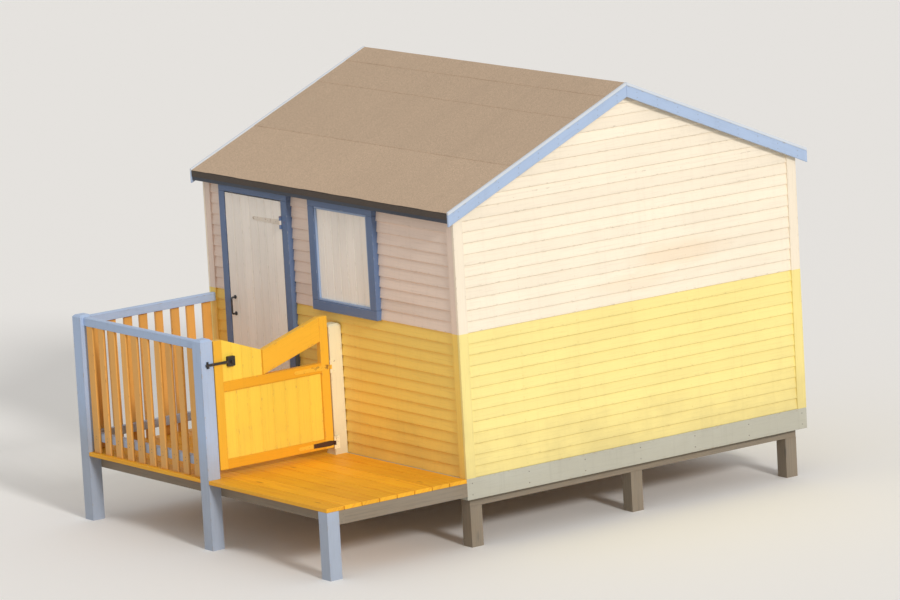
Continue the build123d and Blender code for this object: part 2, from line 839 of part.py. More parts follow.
# Keeper: a plate on the post with a rest under the bar
keeper_x = latch_x - latch_bar_length + keeper_width
keeper_rest_top = latch_z - latch_bar_depth / 2 - keeper_rest_gap
with BuildPart() as gate_keeper:
    with BuildSketch(Plane.XZ.offset(-gate_face)):
        with Locations((keeper_x, latch_z)):
            Rectangle(keeper_width, 2 * (latch_z - keeper_rest_top) + latch_bar_depth)
    extrude(amount=hinge_plate_thickness)
    with BuildSketch(Plane.XZ.offset(-gate_face)):
        with Locations((keeper_x, keeper_rest_top)):
            Rectangle(keeper_width, keeper_rest_thickness, align=(Align.CENTER, Align.MAX))
    extrude(amount=gate_face - latch_face + latch_bar_thickness)

pieces = {
    "hut_legs": hut_legs,
    "bearers": bearers,
    "floor_joists": floor_joists,
    "hut_floor": hut_floor,
    "skirting_gables": skirting_gables,
    "skirting_sides": skirting_sides,
    "wall_back": wall_back,
    "wall_front": wall_front,
    "wall_right": wall_right,
    "wall_left_rear": wall_left_rear,
    "wall_left_under_window": wall_left_under_window,
    "wall_left_middle": wall_left_middle,
    "wall_left_front": wall_left_front,
    "wall_plates": wall_plates,
    "window_frame": window_frame,
    "window_shutter": window_shutter,
    "door_frame": door_frame,
    "door_threshold": door_threshold,
    "door_boards": door_boards,
    "door_ledges": door_ledges,
    "door_straps": door_straps,
    "door_pull": door_pull,
    "ridge_board": ridge_board,
    "rafters": rafters,
    "roof_boards_left": roof_boards_left,
    "roof_boards_right": roof_boards_right,
    "felt_left": felt_left,
    "felt_right": felt_right,
    "fascias": fascias,
    "bargeboards_back": bargeboards_back,
    "bargeboards_front": bargeboards_front,
    "deck_floor": deck_floor,
    "deck_beams": deck_beams,
    "deck_joists": deck_joists,
    "deck_posts": deck_posts,
    "gate_wall_post": gate_wall_post,
    "deck_rails": deck_rails,
    "side_pickets": side_pickets,
    "end_pickets": end_pickets,
    "gate_stiles": gate_stiles,
    "gate_rails": gate_rails,
    "gate_boards": gate_boards,
    "gate_brace": gate_brace,
    "gate_straps": gate_straps,
    "gate_latch": gate_latch,
    "gate_keeper": gate_keeper,
    "hinge_plates": hinge_plates,
}
for name, piece in pieces.items():
    piece.part.label = name
    export_step(piece.part, f"parts/{name}.step")
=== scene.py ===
import bmesh
import bpy
import math
import random
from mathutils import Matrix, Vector


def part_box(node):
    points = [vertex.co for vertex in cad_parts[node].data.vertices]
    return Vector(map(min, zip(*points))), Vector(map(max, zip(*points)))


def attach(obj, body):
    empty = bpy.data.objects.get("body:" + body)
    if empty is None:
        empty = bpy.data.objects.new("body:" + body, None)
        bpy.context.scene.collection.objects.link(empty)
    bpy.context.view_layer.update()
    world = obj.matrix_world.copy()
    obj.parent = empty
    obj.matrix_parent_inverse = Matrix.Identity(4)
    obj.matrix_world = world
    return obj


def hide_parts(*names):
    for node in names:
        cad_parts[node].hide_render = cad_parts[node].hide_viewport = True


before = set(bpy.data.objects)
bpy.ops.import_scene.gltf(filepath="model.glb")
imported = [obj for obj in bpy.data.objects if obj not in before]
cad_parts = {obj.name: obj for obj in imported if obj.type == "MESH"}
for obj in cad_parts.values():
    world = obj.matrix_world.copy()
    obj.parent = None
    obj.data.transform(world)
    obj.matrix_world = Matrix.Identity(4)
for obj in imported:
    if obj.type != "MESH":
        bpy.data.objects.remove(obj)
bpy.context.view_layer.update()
scene = bpy.context.scene

# Places of the hut, read from the frame, in metres
back_lo, back_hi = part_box("wall_back")
hut_left, hut_right = back_lo.x, back_hi.x
hut_back, hut_front = back_lo.y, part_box("wall_front")[1].y
ridge_x = (hut_left + hut_right) / 2
floor_z = back_lo.z
soffit_ridge = back_hi.z
roof_lo, roof_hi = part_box("roof_boards_left")
eave_x, roof_back, roof_front = roof_lo.x, roof_lo.y, roof_hi.y
win_lo, win_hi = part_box("window_frame")
door_lo, door_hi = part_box("door_frame")
deck_lo, deck_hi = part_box("deck_floor")

# Roof sizes
gable_rise = 0.654
gable_half = 1.525
roof_board = 0.018
felt = 0.004
sarking_count = 15
sarking_gap = 0.0004
slope = gable_rise / gable_half
pitch = math.atan(slope)
wall_top = soffit_ridge - slope * (hut_right - hut_left) / 2
board_rise = roof_board / math.cos(pitch)
felt_rise = felt / math.cos(pitch)

# Felt: where each strip starts and ends on the way from eave to ridge, its lift and its steps
felt_strips = ((0.0, 0.40, 0.0, 6), (0.36, 0.76, 0.0022, 6), (0.72, 1.0, 0.004, 6), (0.89, 1.0, 0.0062, 3))
felt_edge = eave_x - 0.0035
felt_skin = 0.0025
felt_wave = 0.0006
felt_dip = -0.001
felt_steps = 48
felt_gap = 0.0003
felt_hem = 0.0005
felt_fall = 0.0012
felt_nails = 30
felt_nail_in = 0.005
felt_nail_up = 0.0032

# Bargeboard sizes
barge_depth = 0.095
barge_strip = 0.02
barge_shy = 0.003
barge_nails = 9
barge_rows = (0.045, 0.082)

# Wall sizes: a weatherboard's face starts clad_out behind the wall's face and leans back by clad_lean
yellow_courses = 13
yellow_height = 1.01
course = yellow_height / yellow_courses
clad_out = 0.006
clad_lean = 0.01008
clad_play = 0.0009
clad_core = 0.018
drip = 0.003
corner_width = 0.08
wall_depth = 0.07
stud = 0.044
stud_inset = 0.045
gable_studs = 7
side_studs = 6
sole_top = floor_z + 0.05
noggins = (floor_z + 0.9, floor_z + 1.8)
rear_stud_y = -0.98
skirting = 0.02

# Sizes of openings and leaves
frame_width = 0.07
frame_lining = 0.025
bead = 0.015
joint = 0.0006
trimmer_gap = 0.0005
leaf_nail_in = 0.0006
ledge_end = 0.035
vee = 0.004
leaf_board = 0.02
leaf_boards = 7
ledge_depth = 0.1
plate = 0.003
plate_reach = 0.03
plate_screws = (-0.032, 0.032)
strap_in = 0.15
door_screws = (0.06, 0.16, 0.26, 0.33)
gate_screws = (0.05, 0.14, 0.22, 0.29)
gate_pin_out = 0.004
pull_screws = (0.014, 0.0103)
pull_plate = 0.005
latch_in = 0.03
latch_plate = 0.012
latch_screws = (0.021, 0.026)
keeper_up = 0.017

# Deck, balustrade and gate sizes
post = 0.1
deck_count = 8
deck_gap = 0.005
joist_half = 0.0225
joist_count = 8
deck_nail_in = 0.0012
post_gap = 0.0005
post_clear = 0.01
foot_chamfer = 0.0005
post_chamfer = 0.014
rail_depth = 0.06
rail_half = 0.0225
rail_rounding = 0.008
low_rail = floor_z + 0.08
picket_width = 0.07
picket_thick = 0.02
picket_lean = 0.006
picket_slip = 0.003
picket_play = (-0.003, 0.002)
picket_nails = (low_rail + 0.018, low_rail + 0.042)
gate_member = 0.07
gate_dip = 0.845
latch_stile = 0.97
floor_count = 22
floor_gap = 0.002

# Heads of nails and screws: their radius and how far they stand proud
BOARD_NAIL = (0.004, 0.0012)
LEAF_NAIL = (0.0035, 0.0012)
FRAME_NAIL = (0.0035, 0.0007)
PICKET_NAIL = (0.0035, 0.0008)
DECK_NAIL = (0.004, 0.001)
FELT_NAIL = (0.006, 0.001)
STRAP_SCREW = (0.005, 0.0012)
PULL_SCREW = (0.0026, 0.0008)
LATCH_SCREW = (0.004, 0.001)
KEEPER_SCREW = (0.0035, 0.001)
nail_root = 0.002
screw_root = 0.001
screw_dome = 0.8
slot_l = 0.72
slot_w = 0.12
slot_proud = 0.0001
slot_depth = 0.0008
nail_up = 0.022
nail_depth = 0.0086
nail_in = 0.03
nail_edge = 0.035
nail_end = 0.05
eave_clear = 0.12

# Directions, a length too short to see, and how nearly a face looks along a direction it faces
X, Y, Z = (1, 0, 0), (0, 1, 0), (0, 0, 1)
hair = 1e-4
facing = 0.9


# Materials, their colours in steps of 255
def rgb(r, g, b):
    def lin(c):
        c /= 255
        return c / 12.92 if c <= 0.04045 else ((c + 0.055) / 1.055) ** 2.4
    return (lin(r), lin(g), lin(b), 1.0)


def scaled(colour, k):
    return (*(min(c * k, 1) for c in colour[:3]), 1.0)


MID_BLUE = rgb(98, 120, 158)
DOOR = rgb(255, 249, 240)
POST = rgb(245, 237, 202)
PINE = rgb(206, 168, 118)
AGED = rgb(140, 122, 98)
SILVERED = rgb(150, 146, 138)
MUD = rgb(150, 134, 98)
LICHEN = rgb(196, 190, 166)
GATE_IRON = rgb(244, 190, 58)
RUST = rgb(72, 44, 28)


class Nodes:
    """A material, or the world, and its nodes."""

    def __init__(self, name, kind="materials"):
        self.owner = getattr(bpy.data, kind).new(name)
        self.owner.use_nodes = True
        self.tree = self.owner.node_tree

    def new(self, kind, inputs=None, **props):
        node = self.tree.nodes.new(f"ShaderNode{kind}")
        for k, v in props.items():
            setattr(node, k, v)
        for k, v in (inputs or {}).items():
            self.put(node, k, v)
        return node

    def put(self, node, key, value):
        if isinstance(value, bpy.types.NodeSocket):
            self.tree.links.new(value, node.inputs[key])
        else:
            node.inputs[key].default_value = value

    def place(self):
        return self.new("TexCoord").outputs["Object"]

    def uv(self, name):
        return self.new("UVMap", uv_map=name).outputs["UV"]

    def part(self, vector, axis):
        return self.new("SeparateXYZ", {"Vector": vector}).outputs[axis]

    def mapped(self, vector, **inputs):
        return self.new("Mapping", {"Vector": vector, **inputs}).outputs["Vector"]

    def grain_vector(self, axis):
        # Coordinates in metres along and across the grain, so that one noise scale fits every board
        if axis == "uv":
            return self.uv("grain")
        turn = {"x": (0, 0, 0), "y": (0, 0, math.pi / 2), "z": (0, math.pi / 2, 0)}[axis]
        return self.mapped(self.place(), Rotation=turn)

    def stretch(self, vector, along, across):
        return self.mapped(vector, Scale=(along, across, across))

    def noise(self, vector, scale, detail, rough=0.55, distortion=0.0):
        inputs = {"Vector": vector, "Scale": scale, "Detail": detail, "Roughness": rough}
        return self.new("TexNoise", {**inputs, "Distortion": distortion}).outputs["Fac"]

    def cells(self, vector, scale):
        return self.new("TexVoronoi", {"Vector": vector, "Scale": scale}).outputs

    def level(self, fac, low, high, to_low=0.0, to_high=1.0):
        inputs = {"Value": fac, "From Min": low, "From Max": high, "To Min": to_low, "To Max": to_high}
        return self.new("MapRange", inputs).outputs["Result"]

    def math(self, op, a, b):
        return self.new("Math", {0: a, 1: b}, operation=op).outputs["Value"]

    def times(self, a, b):
        return self.math("MULTIPLY", a, b)

    def plus(self, a, b):
        return self.math("ADD", a, b)

    def mix(self, fac, a, b):
        return self.new("Mix", {0: fac, 6: a, 7: b}, data_type="RGBA").outputs[2]

    def lay(self, base, fac, low, high, most, colour):
        # Lays a colour on, from nothing where fac is low to the share most where it is high
        return self.mix(self.level(fac, low, high, 0, most), base, colour)

    def vary(self, colour, fac, low, high):
        # Multiplies a colour's value, with fac 0..1 running from low to high
        inputs = {"Color": colour, "Value": self.level(fac, 0, 1, low, high)}
        return self.new("HueSaturation", inputs).outputs["Color"]

    def tone(self, axis):
        # Each board's own tone where it was given one, and a slow noise where the solid is shared
        if axis == "uv":
            return self.new("Attribute", attribute_name="tone", attribute_type="GEOMETRY").outputs["Fac"]
        return self.noise(self.place(), scale=0.9, detail=1)

    def blot(self, place, centre, radii, ragged):
        # 1 inside an ellipsoid and 0 outside it, its edge made ragged
        shift = [-c / r for c, r in zip(centre, radii)]
        moved = self.mapped(place, Location=shift, Scale=[1 / r for r in radii])
        far = self.new("VectorMath", {0: moved}, operation="LENGTH").outputs["Value"]
        return self.level(self.plus(far, ragged), 0.9, 1.7, 1.0, 0.0)

    def relief(self, *layers):
        # Bumps of (height, strength, distance), each upon the one before
        normal = None
        for height, strength, distance in layers:
            node = self.new("Bump", {"Height": height, "Strength": strength, "Distance": distance})
            if normal:
                self.put(node, "Normal", normal)
            normal = node.outputs["Normal"]
        return normal

    def finish(self, colour, roughness, normal=None):
        for key, value in (("Base Color", colour), ("Roughness", roughness), ("Normal", normal)):
            if value is not None:
                self.put(self.tree.nodes["Principled BSDF"], key, value)
        return self.owner


def painted(name, colour, worn=rgb(168, 152, 130), axis="uv", wear=0.5, spread=0.05, splash=0.0, runs=0.0,
            stains=()):
    """Brush-painted softwood: grain and brush marks in relief, tone from board to board, chips at the
    edges, splashed dirt low down, rain runs and stains given as (centre, radii, colour, strength)."""
    n = Nodes(name)
    vector = n.grain_vector(axis)
    place = n.place()
    streaks = n.stretch(vector, along=1.6, across=42)
    grain = n.noise(streaks, scale=2.2, detail=6, rough=0.6, distortion=0.35)
    brush = n.noise(n.stretch(vector, along=3, across=150), scale=1.6, detail=3, rough=0.5)
    chips = n.noise(n.stretch(vector, along=9, across=34), scale=2, detail=6, rough=0.65)
    grime = n.noise(place, scale=2.3, detail=5, rough=0.6)
    base = n.vary(colour, n.tone(axis), 1 - spread, 1 + spread * 0.6)
    base = n.lay(base, grime, 0.42, 0.72, 0.24, scaled(colour, 0.78))
    base = n.lay(base, grain, 0.52, 0.74, 0.34, scaled(colour, 0.70))
    base = n.lay(base, brush, 0.52, 0.70, 0.12, scaled(colour, 0.82))
    for centre, radii, tint, strength in stains:
        spot = n.blot(place, centre, radii, n.level(grime, 0.3, 0.7, -0.3, 0.7))
        base = n.mix(n.times(spot, strength), base, tint)
    if runs:
        drips = n.noise(n.mapped(place, Scale=(30, 30, 1.3)), scale=1, detail=4)
        base = n.lay(base, drips, 0.54, 0.74, runs, scaled(colour, 0.66))
    if splash:
        low = n.plus(n.part(place, "Z"), n.level(grime, 0.3, 0.7, 0.12, -0.12))
        base = n.mix(n.level(low, floor_z - 0.05, floor_z + 0.32, splash, 0.0), base, MUD)
    if axis == "uv":
        across = n.part(n.uv("edge"), "Y")
        near = n.math("MINIMUM", across, n.math("SUBTRACT", 1.0, across))
        dirt = n.times(n.level(near, 0.0, 0.22, 0.16, 0.0), n.level(grime, 0.3, 0.7, 0.2, 1.0))
        base = n.mix(dirt, base, scaled(colour, 0.55))
        bare = n.times(n.level(chips, 0.57, 0.63), n.plus(n.level(near, 0.0, 0.13, 0.9, 0.0), 0.06))
    else:
        bare = n.times(n.level(chips, 0.66, 0.71), 0.6)
    bare = n.times(bare, wear)
    base = n.mix(bare, base, worn)
    rough = n.plus(n.level(grain, 0.2, 0.8, 0.38, 0.60), n.times(bare, 0.3))
    relief = n.relief((grain, 0.5, 0.0014), (brush, 0.35, 0.0005), (bare, 0.6, -0.0008))
    return n.finish(base, rough, relief)


def timber(name, colour, axis="uv", dark=None, grey=0.0, stain=0.0, rough=0.72):
    """Bare or stained softwood: growth rings drawn out along the board, knots, tone from board to board."""
    n = Nodes(name)
    dark = dark or scaled(colour, 0.52)
    vector = n.grain_vector(axis)
    rings = n.noise(n.stretch(vector, along=0.9, across=30), scale=2.6, detail=5, distortion=1.1)
    fibre = n.noise(n.stretch(vector, along=6, across=260), scale=1.5, detail=3, rough=0.6)
    knots = n.cells(n.stretch(vector, along=2.2, across=7.5), scale=1)["Distance"]
    patch = n.noise(n.place(), scale=3.1, detail=5, rough=0.6)
    base = n.vary(colour, n.tone(axis), 0.86, 1.1)
    base = n.lay(base, rings, 0.47, 0.66, 0.62, dark)
    base = n.mix(n.level(knots, 0.05, 0.12, 0.65, 0.0), base, scaled(dark, 0.55))
    base = n.lay(base, fibre, 0.4, 0.75, 0.18, scaled(dark, 0.8))
    if grey:
        base = n.mix(n.level(patch, 0.3, 0.7, grey * 0.5, grey), base, SILVERED)
    if stain:
        base = n.lay(base, patch, 0.42, 0.7, stain, scaled(colour, 0.62))
    rough_out = n.level(patch, 0.2, 0.8, rough - 0.1, rough + 0.12)
    return n.finish(base, rough_out, n.relief((rings, 0.35, 0.0014), (fibre, 0.3, 0.0005)))


def mineral_felt(name, colour):
    """Mineral roofing felt: granules, faint run-off streaks down the slope and lichen bloom."""
    n = Nodes(name)
    place = n.place()
    grit = n.cells(place, scale=260)
    grain = n.new("SeparateColor", {"Color": grit["Color"]}).outputs["Red"]
    fine = n.noise(place, scale=420, detail=2, rough=0.6)
    broad = n.noise(place, scale=1.1, detail=5, rough=0.6)
    bloom = n.noise(place, scale=6, detail=6, rough=0.7)
    streak = n.noise(n.mapped(place, Scale=(0.35, 5.0, 0.35)), scale=1.6, detail=5, rough=0.6)
    base = n.vary(colour, n.tone("uv"), 0.97, 1.03)
    base = n.vary(base, grain, 0.80, 1.20)
    base = n.lay(base, broad, 0.35, 0.70, 0.22, scaled(colour, 0.80))
    base = n.lay(base, streak, 0.50, 0.75, 0.20, scaled(colour, 0.76))
    base = n.lay(base, bloom, 0.64, 0.76, 0.16, LICHEN)
    relief = n.relief((grit["Distance"], 0.5, 0.0012), (fine, 0.3, 0.0006), (broad, 0.4, 0.004))
    return n.finish(base, n.level(fine, 0.3, 0.7, 0.82, 0.98), relief)


def iron(name, colour, worn=rgb(96, 74, 58), rough=0.5, zones=()):
    """Painted ironwork with rust at its worn places. Past a limit on an axis, zones give another coat."""
    n = Nodes(name)
    place = n.place()
    patch = n.noise(place, scale=26, detail=5, rough=0.65)
    fine = n.noise(place, scale=240, detail=3, rough=0.6)
    rusty = n.level(patch, 0.56, 0.68, 0, 0.75)
    coat = colour
    for axis, limit, tint in zones:
        coat = n.mix(n.level(n.part(place, axis), limit - 0.005, limit + 0.005), coat, tint)
    base = n.mix(rusty, n.vary(coat, fine, 0.88, 1.1), worn)
    rough_out = n.plus(n.level(fine, 0.3, 0.7, rough - 0.08, rough + 0.08), n.times(rusty, 0.25))
    return n.finish(base, rough_out, n.relief((fine, 0.3, 0.0004), (patch, 0.3, 0.0008)))


# Faint stains right of the middle of the back wall's cream
back_stains = (
    ((1.12, hut_back, 1.79), (0.34, 0.3, 0.075), rgb(240, 208, 168), 0.3),
    ((0.55, hut_back, 1.64), (0.26, 0.3, 0.05), rgb(240, 212, 176), 0.22),
)
cream_boards = painted("cream_weatherboard", rgb(254, 241, 219), wear=0.6, runs=0.12, stains=back_stains)
yellow_boards = painted("yellow_weatherboard", rgb(255, 236, 153), rgb(190, 160, 110), wear=0.6, splash=0.3,
                        runs=0.14)
# The left wall's pinker cream and more orange yellow are the back wall's paints with painted shade
cream_painted_shade = painted("cream_side_weatherboard", rgb(241, 220, 205), runs=0.12)
yellow_painted_shade = painted("yellow_side_weatherboard", rgb(255, 217, 110), rgb(186, 146, 92), splash=0.25,
                      runs=0.12)
pale_blue = painted("pale_blue_paint", rgb(176, 197, 229), wear=0.8, splash=0.35, runs=0.14)
pale_edge = painted("pale_blue_edge_paint", rgb(214, 222, 232), wear=0.8)
mid_blue = painted("mid_blue_paint", MID_BLUE, rgb(196, 198, 196), wear=0.7)
bead_blue = painted("bead_blue_paint", rgb(150, 172, 206))
door_paint = painted("cream_door_paint", DOOR, wear=0.45, splash=0.16, runs=0.05)
gold_paint = painted("golden_gate_paint", rgb(253, 216, 80), rgb(196, 150, 84), wear=0.8, spread=0.08,
                     splash=0.2, runs=0.2)
amber_paint = painted("amber_gate_paint", rgb(247, 188, 52), rgb(190, 140, 78), wear=0.9, spread=0.06,
                      runs=0.15)
# The rails' deeper orange is partly paint and partly painted shade along the mid rail
rail_paint_and_shade = painted("orange_rail_paint", rgb(240, 173, 34), rgb(186, 130, 66), wear=0.9, spread=0.06,
                     runs=0.15)
post_paint = painted("cream_post_paint", POST, rgb(178, 150, 112), wear=0.8, splash=0.3)
picket_paint = painted("tan_picket_paint", rgb(239, 177, 90), rgb(160, 108, 56), wear=0.9, spread=0.14,
                       splash=0.3, runs=0.2)
putty = painted("worn_skirting", rgb(201, 202, 191), wear=1.0, spread=0.1, splash=0.25, runs=0.25)
deck_stain = timber("orange_deck_stain", rgb(255, 187, 34), dark=rgb(226, 140, 16), rough=0.55, stain=0.2)
pine = timber("pine_board", PINE)
pine_x, pine_y = (timber(f"pine_along_{axis}", PINE, axis) for axis in "xy")
aged_x, aged_y, aged_z = (timber(f"aged_along_{axis}", AGED, axis, grey=0.45) for axis in "xyz")
felt_mat = mineral_felt("mineral_felt", rgb(198, 173, 147))
# Dark felt for the eave's turned-down edge: painted shade under the roof's edge
shaded_drip_felt = mineral_felt("stained_drip_felt", rgb(84, 76, 70))
black_iron = iron("black_iron", rgb(44, 44, 46))
nail_iron = iron("rusty_nail", rgb(112, 104, 98), rgb(122, 74, 44))
painted_nail = iron("painted_nail", rgb(158, 172, 192), rgb(146, 132, 118))
door_iron = iron("door_coloured_iron", rgb(232, 222, 208), rgb(146, 108, 80))
slot_dark = iron("screw_slot", rgb(24, 23, 22))

# The lower strap has rusted through its paint at the hinge end, and the upper one keeps the gate's colour
strap_lo, strap_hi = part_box("gate_straps")
rusty_length = 0.19
strap_zones = [("X", strap_hi.x - rusty_length, RUST), ("Z", (strap_lo.z + strap_hi.z) / 2, GATE_IRON)]
plate_zones = [("Y", (strap_hi.y + door_lo.y) / 2, MID_BLUE)]
strap_iron = iron("gate_strap_iron", GATE_IRON, rgb(112, 62, 30), rough=0.6, zones=strap_zones)
plate_iron = iron("hinge_plate_iron", POST, rgb(118, 78, 50), rough=0.6, zones=plate_zones)


# Boards
def spaced(first, last, count):
    """Evenly spaced places from the first to the last."""
    return [first + i * (last - first) / (count - 1) for i in range(count)]


def middles(start, end, count):
    """Middles of as many equal parts of a span."""
    return [start + (i + 0.5) * (end - start) / count for i in range(count)]


def parts(start, end, count):
    """Both ends of as many equal parts of a span."""
    step = (end - start) / count
    return [(start + i * step, start + (i + 1) * step) for i in range(count)]


def free_intervals(start, end, blocked):
    """What is left of a span between its blocked parts."""
    spans = [(start, end)]
    for b0, b1 in blocked:
        cut = [part for a, b in spans for part in ((a, min(b, b0)), (max(a, b1), b))]
        spans = [(a, b) for a, b in cut if b - a > hair]
    return spans


def square_to(normal):
    """Two directions square to a normal and to each other."""
    u = normal.orthogonal().normalized()
    return u, normal.cross(u)


def rectangle(x0, y0, x1, y1):
    return (x0, y0), (x1, y0), (x1, y1), (x0, y1)


def circle(centre, u, v, radius, count):
    angles = [i * math.tau / count for i in range(count)]
    return [centre + (u * math.cos(t) + v * math.sin(t)) * radius for t in angles]


def placed(name, data, turn=None):
    """A new object in the scene."""
    obj = bpy.data.objects.new(name, data)
    scene.collection.objects.link(obj)
    if turn:
        obj.rotation_mode = "QUATERNION"
        obj.rotation_quaternion = turn
    return obj


class Boards:
    """Collects closed prisms in one mesh, with grain and edge coordinates and a tone for each board."""

    def __init__(self, seed):
        self.bm = bmesh.new()
        self.grain = self.bm.loops.layers.uv.new("grain")
        self.edge = self.bm.loops.layers.uv.new("edge")
        self.tone = self.bm.faces.layers.float.new("tone")
        self.rng = random.Random(seed)
        self.board()

    def board(self):
        # Starts a new board: a tone and a stretch of grain of its own
        self.shade = self.rng.random()
        self.shift = (self.rng.uniform(0, 40), self.rng.uniform(0, 40))

    def prism(self, near, far, along, mat=0, inside=None, inside_mat=0):
        """Joins two outlines of as many points each. along is the grain's direction, and faces that look
        towards inside take inside_mat."""
        along = Vector(along).normalized()
        a = [self.bm.verts.new(p) for p in near]
        b = [self.bm.verts.new(p) for p in far]
        faces = [self.bm.faces.new(a), self.bm.faces.new(b[::-1])]
        for i in range(len(a)):
            j = (i + 1) % len(a)
            faces.append(self.bm.faces.new((a[i], b[i], b[j], a[j])))
        bmesh.ops.recalc_face_normals(self.bm, faces=faces)
        for f in faces:
            f.material_index = mat
            f[self.tone] = self.shade
            f.normal_update()
            if inside is not None and f.normal.dot(Vector(inside)) > facing:
                f.material_index = inside_mat
            if abs(f.normal.dot(along)) > facing:
                u = f.normal.orthogonal().normalized()
            else:
                u = (along - f.normal * f.normal.dot(along)).normalized()
            v = f.normal.cross(u)
            if v.z < -0.1:
                v = -v
            us, vs = ([l.vert.co.dot(side) for l in f.loops] for side in (u, v))
            du, dv = (max(max(side) - min(side), hair) for side in (us, vs))
            for l, x, y in zip(f.loops, us, vs):
                l[self.grain].uv = (x + self.shift[0], y + self.shift[1])
                l[self.edge].uv = ((x - min(us)) / du, (y - min(vs)) / dv)

    def box(self, lo, hi, along, mat=0, new=True):
        if new:
            self.board()
        (x0, y0, z0), (x1, y1, z1) = lo, hi
        plan = rectangle(x0, y0, x1, y1)
        self.prism([(x, y, z0) for x, y in plan], [(x, y, z1) for x, y in plan], along, mat)

    def run(self, section, y0, y1, mat=0, along=Y, new=True):
        # Draws out a section in x and z from y0 to y1
        if new:
            self.board()
        self.prism([(x, y0, z) for x, z in section], [(x, y1, z) for x, z in section], along, mat)

    def nail(self, at, normal, head=BOARD_NAIL, mat=0):
        radius, proud = head
        normal = Vector(normal).normalized()
        rim = circle(Vector(at), *square_to(normal), radius, 6)
        self.prism([p - normal * nail_root for p in rim], [p + normal * proud for p in rim], normal, mat)

    def piece(self, name, mats, replaces=(), bevel=0.0, segments=1, body="hut"):
        mesh = bpy.data.meshes.new(name)
        self.bm.to_mesh(mesh)
        self.bm.free()
        obj = placed(name, mesh)
        for m in mats:
            mesh.materials.append(m)
        if bevel:
            mod = obj.modifiers.new("arris", "BEVEL")
            mod.width = bevel
            mod.segments = segments
            mod.limit_method = "ANGLE"
            mod.angle_limit = math.radians(40)
        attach(obj, body)
        if replaces:
            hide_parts(*replaces)


def cladding(b, point, along, into, start, end, top, holes=(), levels=()):
    """Feather-edged weatherboards from the floor up to top, yellow below and cream above. point(s, d, z) is
    a point s along the wall and d in from its face. start(z) and end(z) bound a course, holes are
    (s0, s1, z0, z1), and a course is split at levels."""
    index = 0
    z0 = floor_z
    while z0 < top - hair:
        z1 = min(floor_z + course * (index + 1), top)
        b.board()
        lift = b.rng.uniform(-clad_play, clad_play)

        def depth(z):
            return clad_out + lift + clad_lean * (z - z0) / course

        edges = [z for hole in holes for z in hole[2:]] + list(levels)
        cuts = sorted({z0, z0 + drip, z1} | {z for z in edges if z0 < z < z1})
        for za, zb in zip(cuts, cuts[1:]):
            da = depth(za) + (drip if za == z0 else 0)
            db = depth(zb)
            mid = (za + zb) / 2
            blocked = [(h[0], h[1]) for h in holes if h[2] < mid < h[3]]
            for sa, sb in free_intervals(start(mid), end(mid), blocked):
                left = (start(za), start(zb)) if sa == start(mid) else (sa, sa)
                right = (end(za), end(zb)) if sb == end(mid) else (sb, sb)
                near, far = ([point(low, da, za), point(high, db, zb), point(high, clad_core, zb),
                              point(low, clad_core, za)] for low, high in (left, right))
                if (Vector(far[1]) - Vector(near[1])).length > hair:
                    b.prism(near, far, along, paint_of(index), into, 2)
        index += 1
        z0 = z1


def paint_of(index):
    """A course's paint: the second up to the edge between the colours, the first above it."""
    return 0 if index >= yellow_courses else 1


def nail_lines(b, point, normal, places, top, inside):
    """A nail at the foot of every course, at each of the places that is inside."""
    index = 0
    while floor_z + course * index < top - nail_in:
        z = floor_z + course * index + nail_up
        for s in places:
            if inside(s, z):
                b.nail(point(s, nail_depth, z), normal, mat=paint_of(index))
        index += 1


def corner_board(b, point, into, s0, s1, top):
    """A vertical board at a corner, painted in the wall's two colours."""
    plan = rectangle(s0, 0, s1, clad_core)
    low, mid, high = ([point(s, d, z(s)) for s, d in plan]
                      for z in (lambda s: floor_z, lambda s: floor_z + yellow_height, top))
    b.board()
    b.prism(low, mid, Z, 1, into, 2)
    b.prism(mid, high, Z, 0, into, 2)


def roof_under(x):
    """Height of the roof boards' underside over a place x."""
    return wall_top + slope * (min(x, 2 * ridge_x - x) - hut_left)


# Gable walls
def gable(name, node, face, inward, seed):
    def point(s, d, z):
        return (s, face + inward * d, z)

    def start(z):
        return max(hut_left + corner_width, hut_left + (z - wall_top) / slope)

    def end(z):
        return min(hut_right - corner_width, hut_right - (z - wall_top) / slope)

    b = Boards(seed)
    into = (0, inward, 0)
    cladding(b, point, X, into, start, end, soffit_ridge, levels=(wall_top + corner_width * slope,))
    for s0, s1 in ((hut_left, hut_left + corner_width), (hut_right - corner_width, hut_right)):
        corner_board(b, point, into, s0, s1, roof_under)
    studs = spaced(hut_left + stud_inset, hut_right - stud_inset, gable_studs)
    nail_lines(b, point, (0, -inward, 0), studs[1:-1], soffit_ridge,
               lambda s, z: z < roof_under(s) - eave_clear)
    b.piece(f"{name}_cladding", [cream_boards, yellow_boards, pine], [node])

    b = Boards(seed + 1)
    for x in studs:
        x0, x1 = x - stud / 2, x + stud / 2
        plan = rectangle(x0, clad_core, x1, wall_depth)
        flat = x0 < ridge_x < x1
        b.board()
        b.prism([point(s, d, sole_top) for s, d in plan],
                [point(s, d, roof_under(x0 if flat else s)) for s, d in plan], Z)
    ya, yb = sorted((face + inward * clad_core, face + inward * wall_depth))
    b.box((hut_left + clad_core, ya, floor_z), (hut_right - clad_core, yb, sole_top), X)
    for z in noggins:
        for x0, x1 in zip(studs, studs[1:]):
            b.box((x0 + stud / 2, ya, z), (x1 - stud / 2, yb, z + stud), X)
    b.piece(f"{name}_studs", [pine], bevel=0.002)


gable("back_wall", "wall_back", hut_back, 1, 11)
gable("front_wall", "wall_front", hut_front, -1, 21)

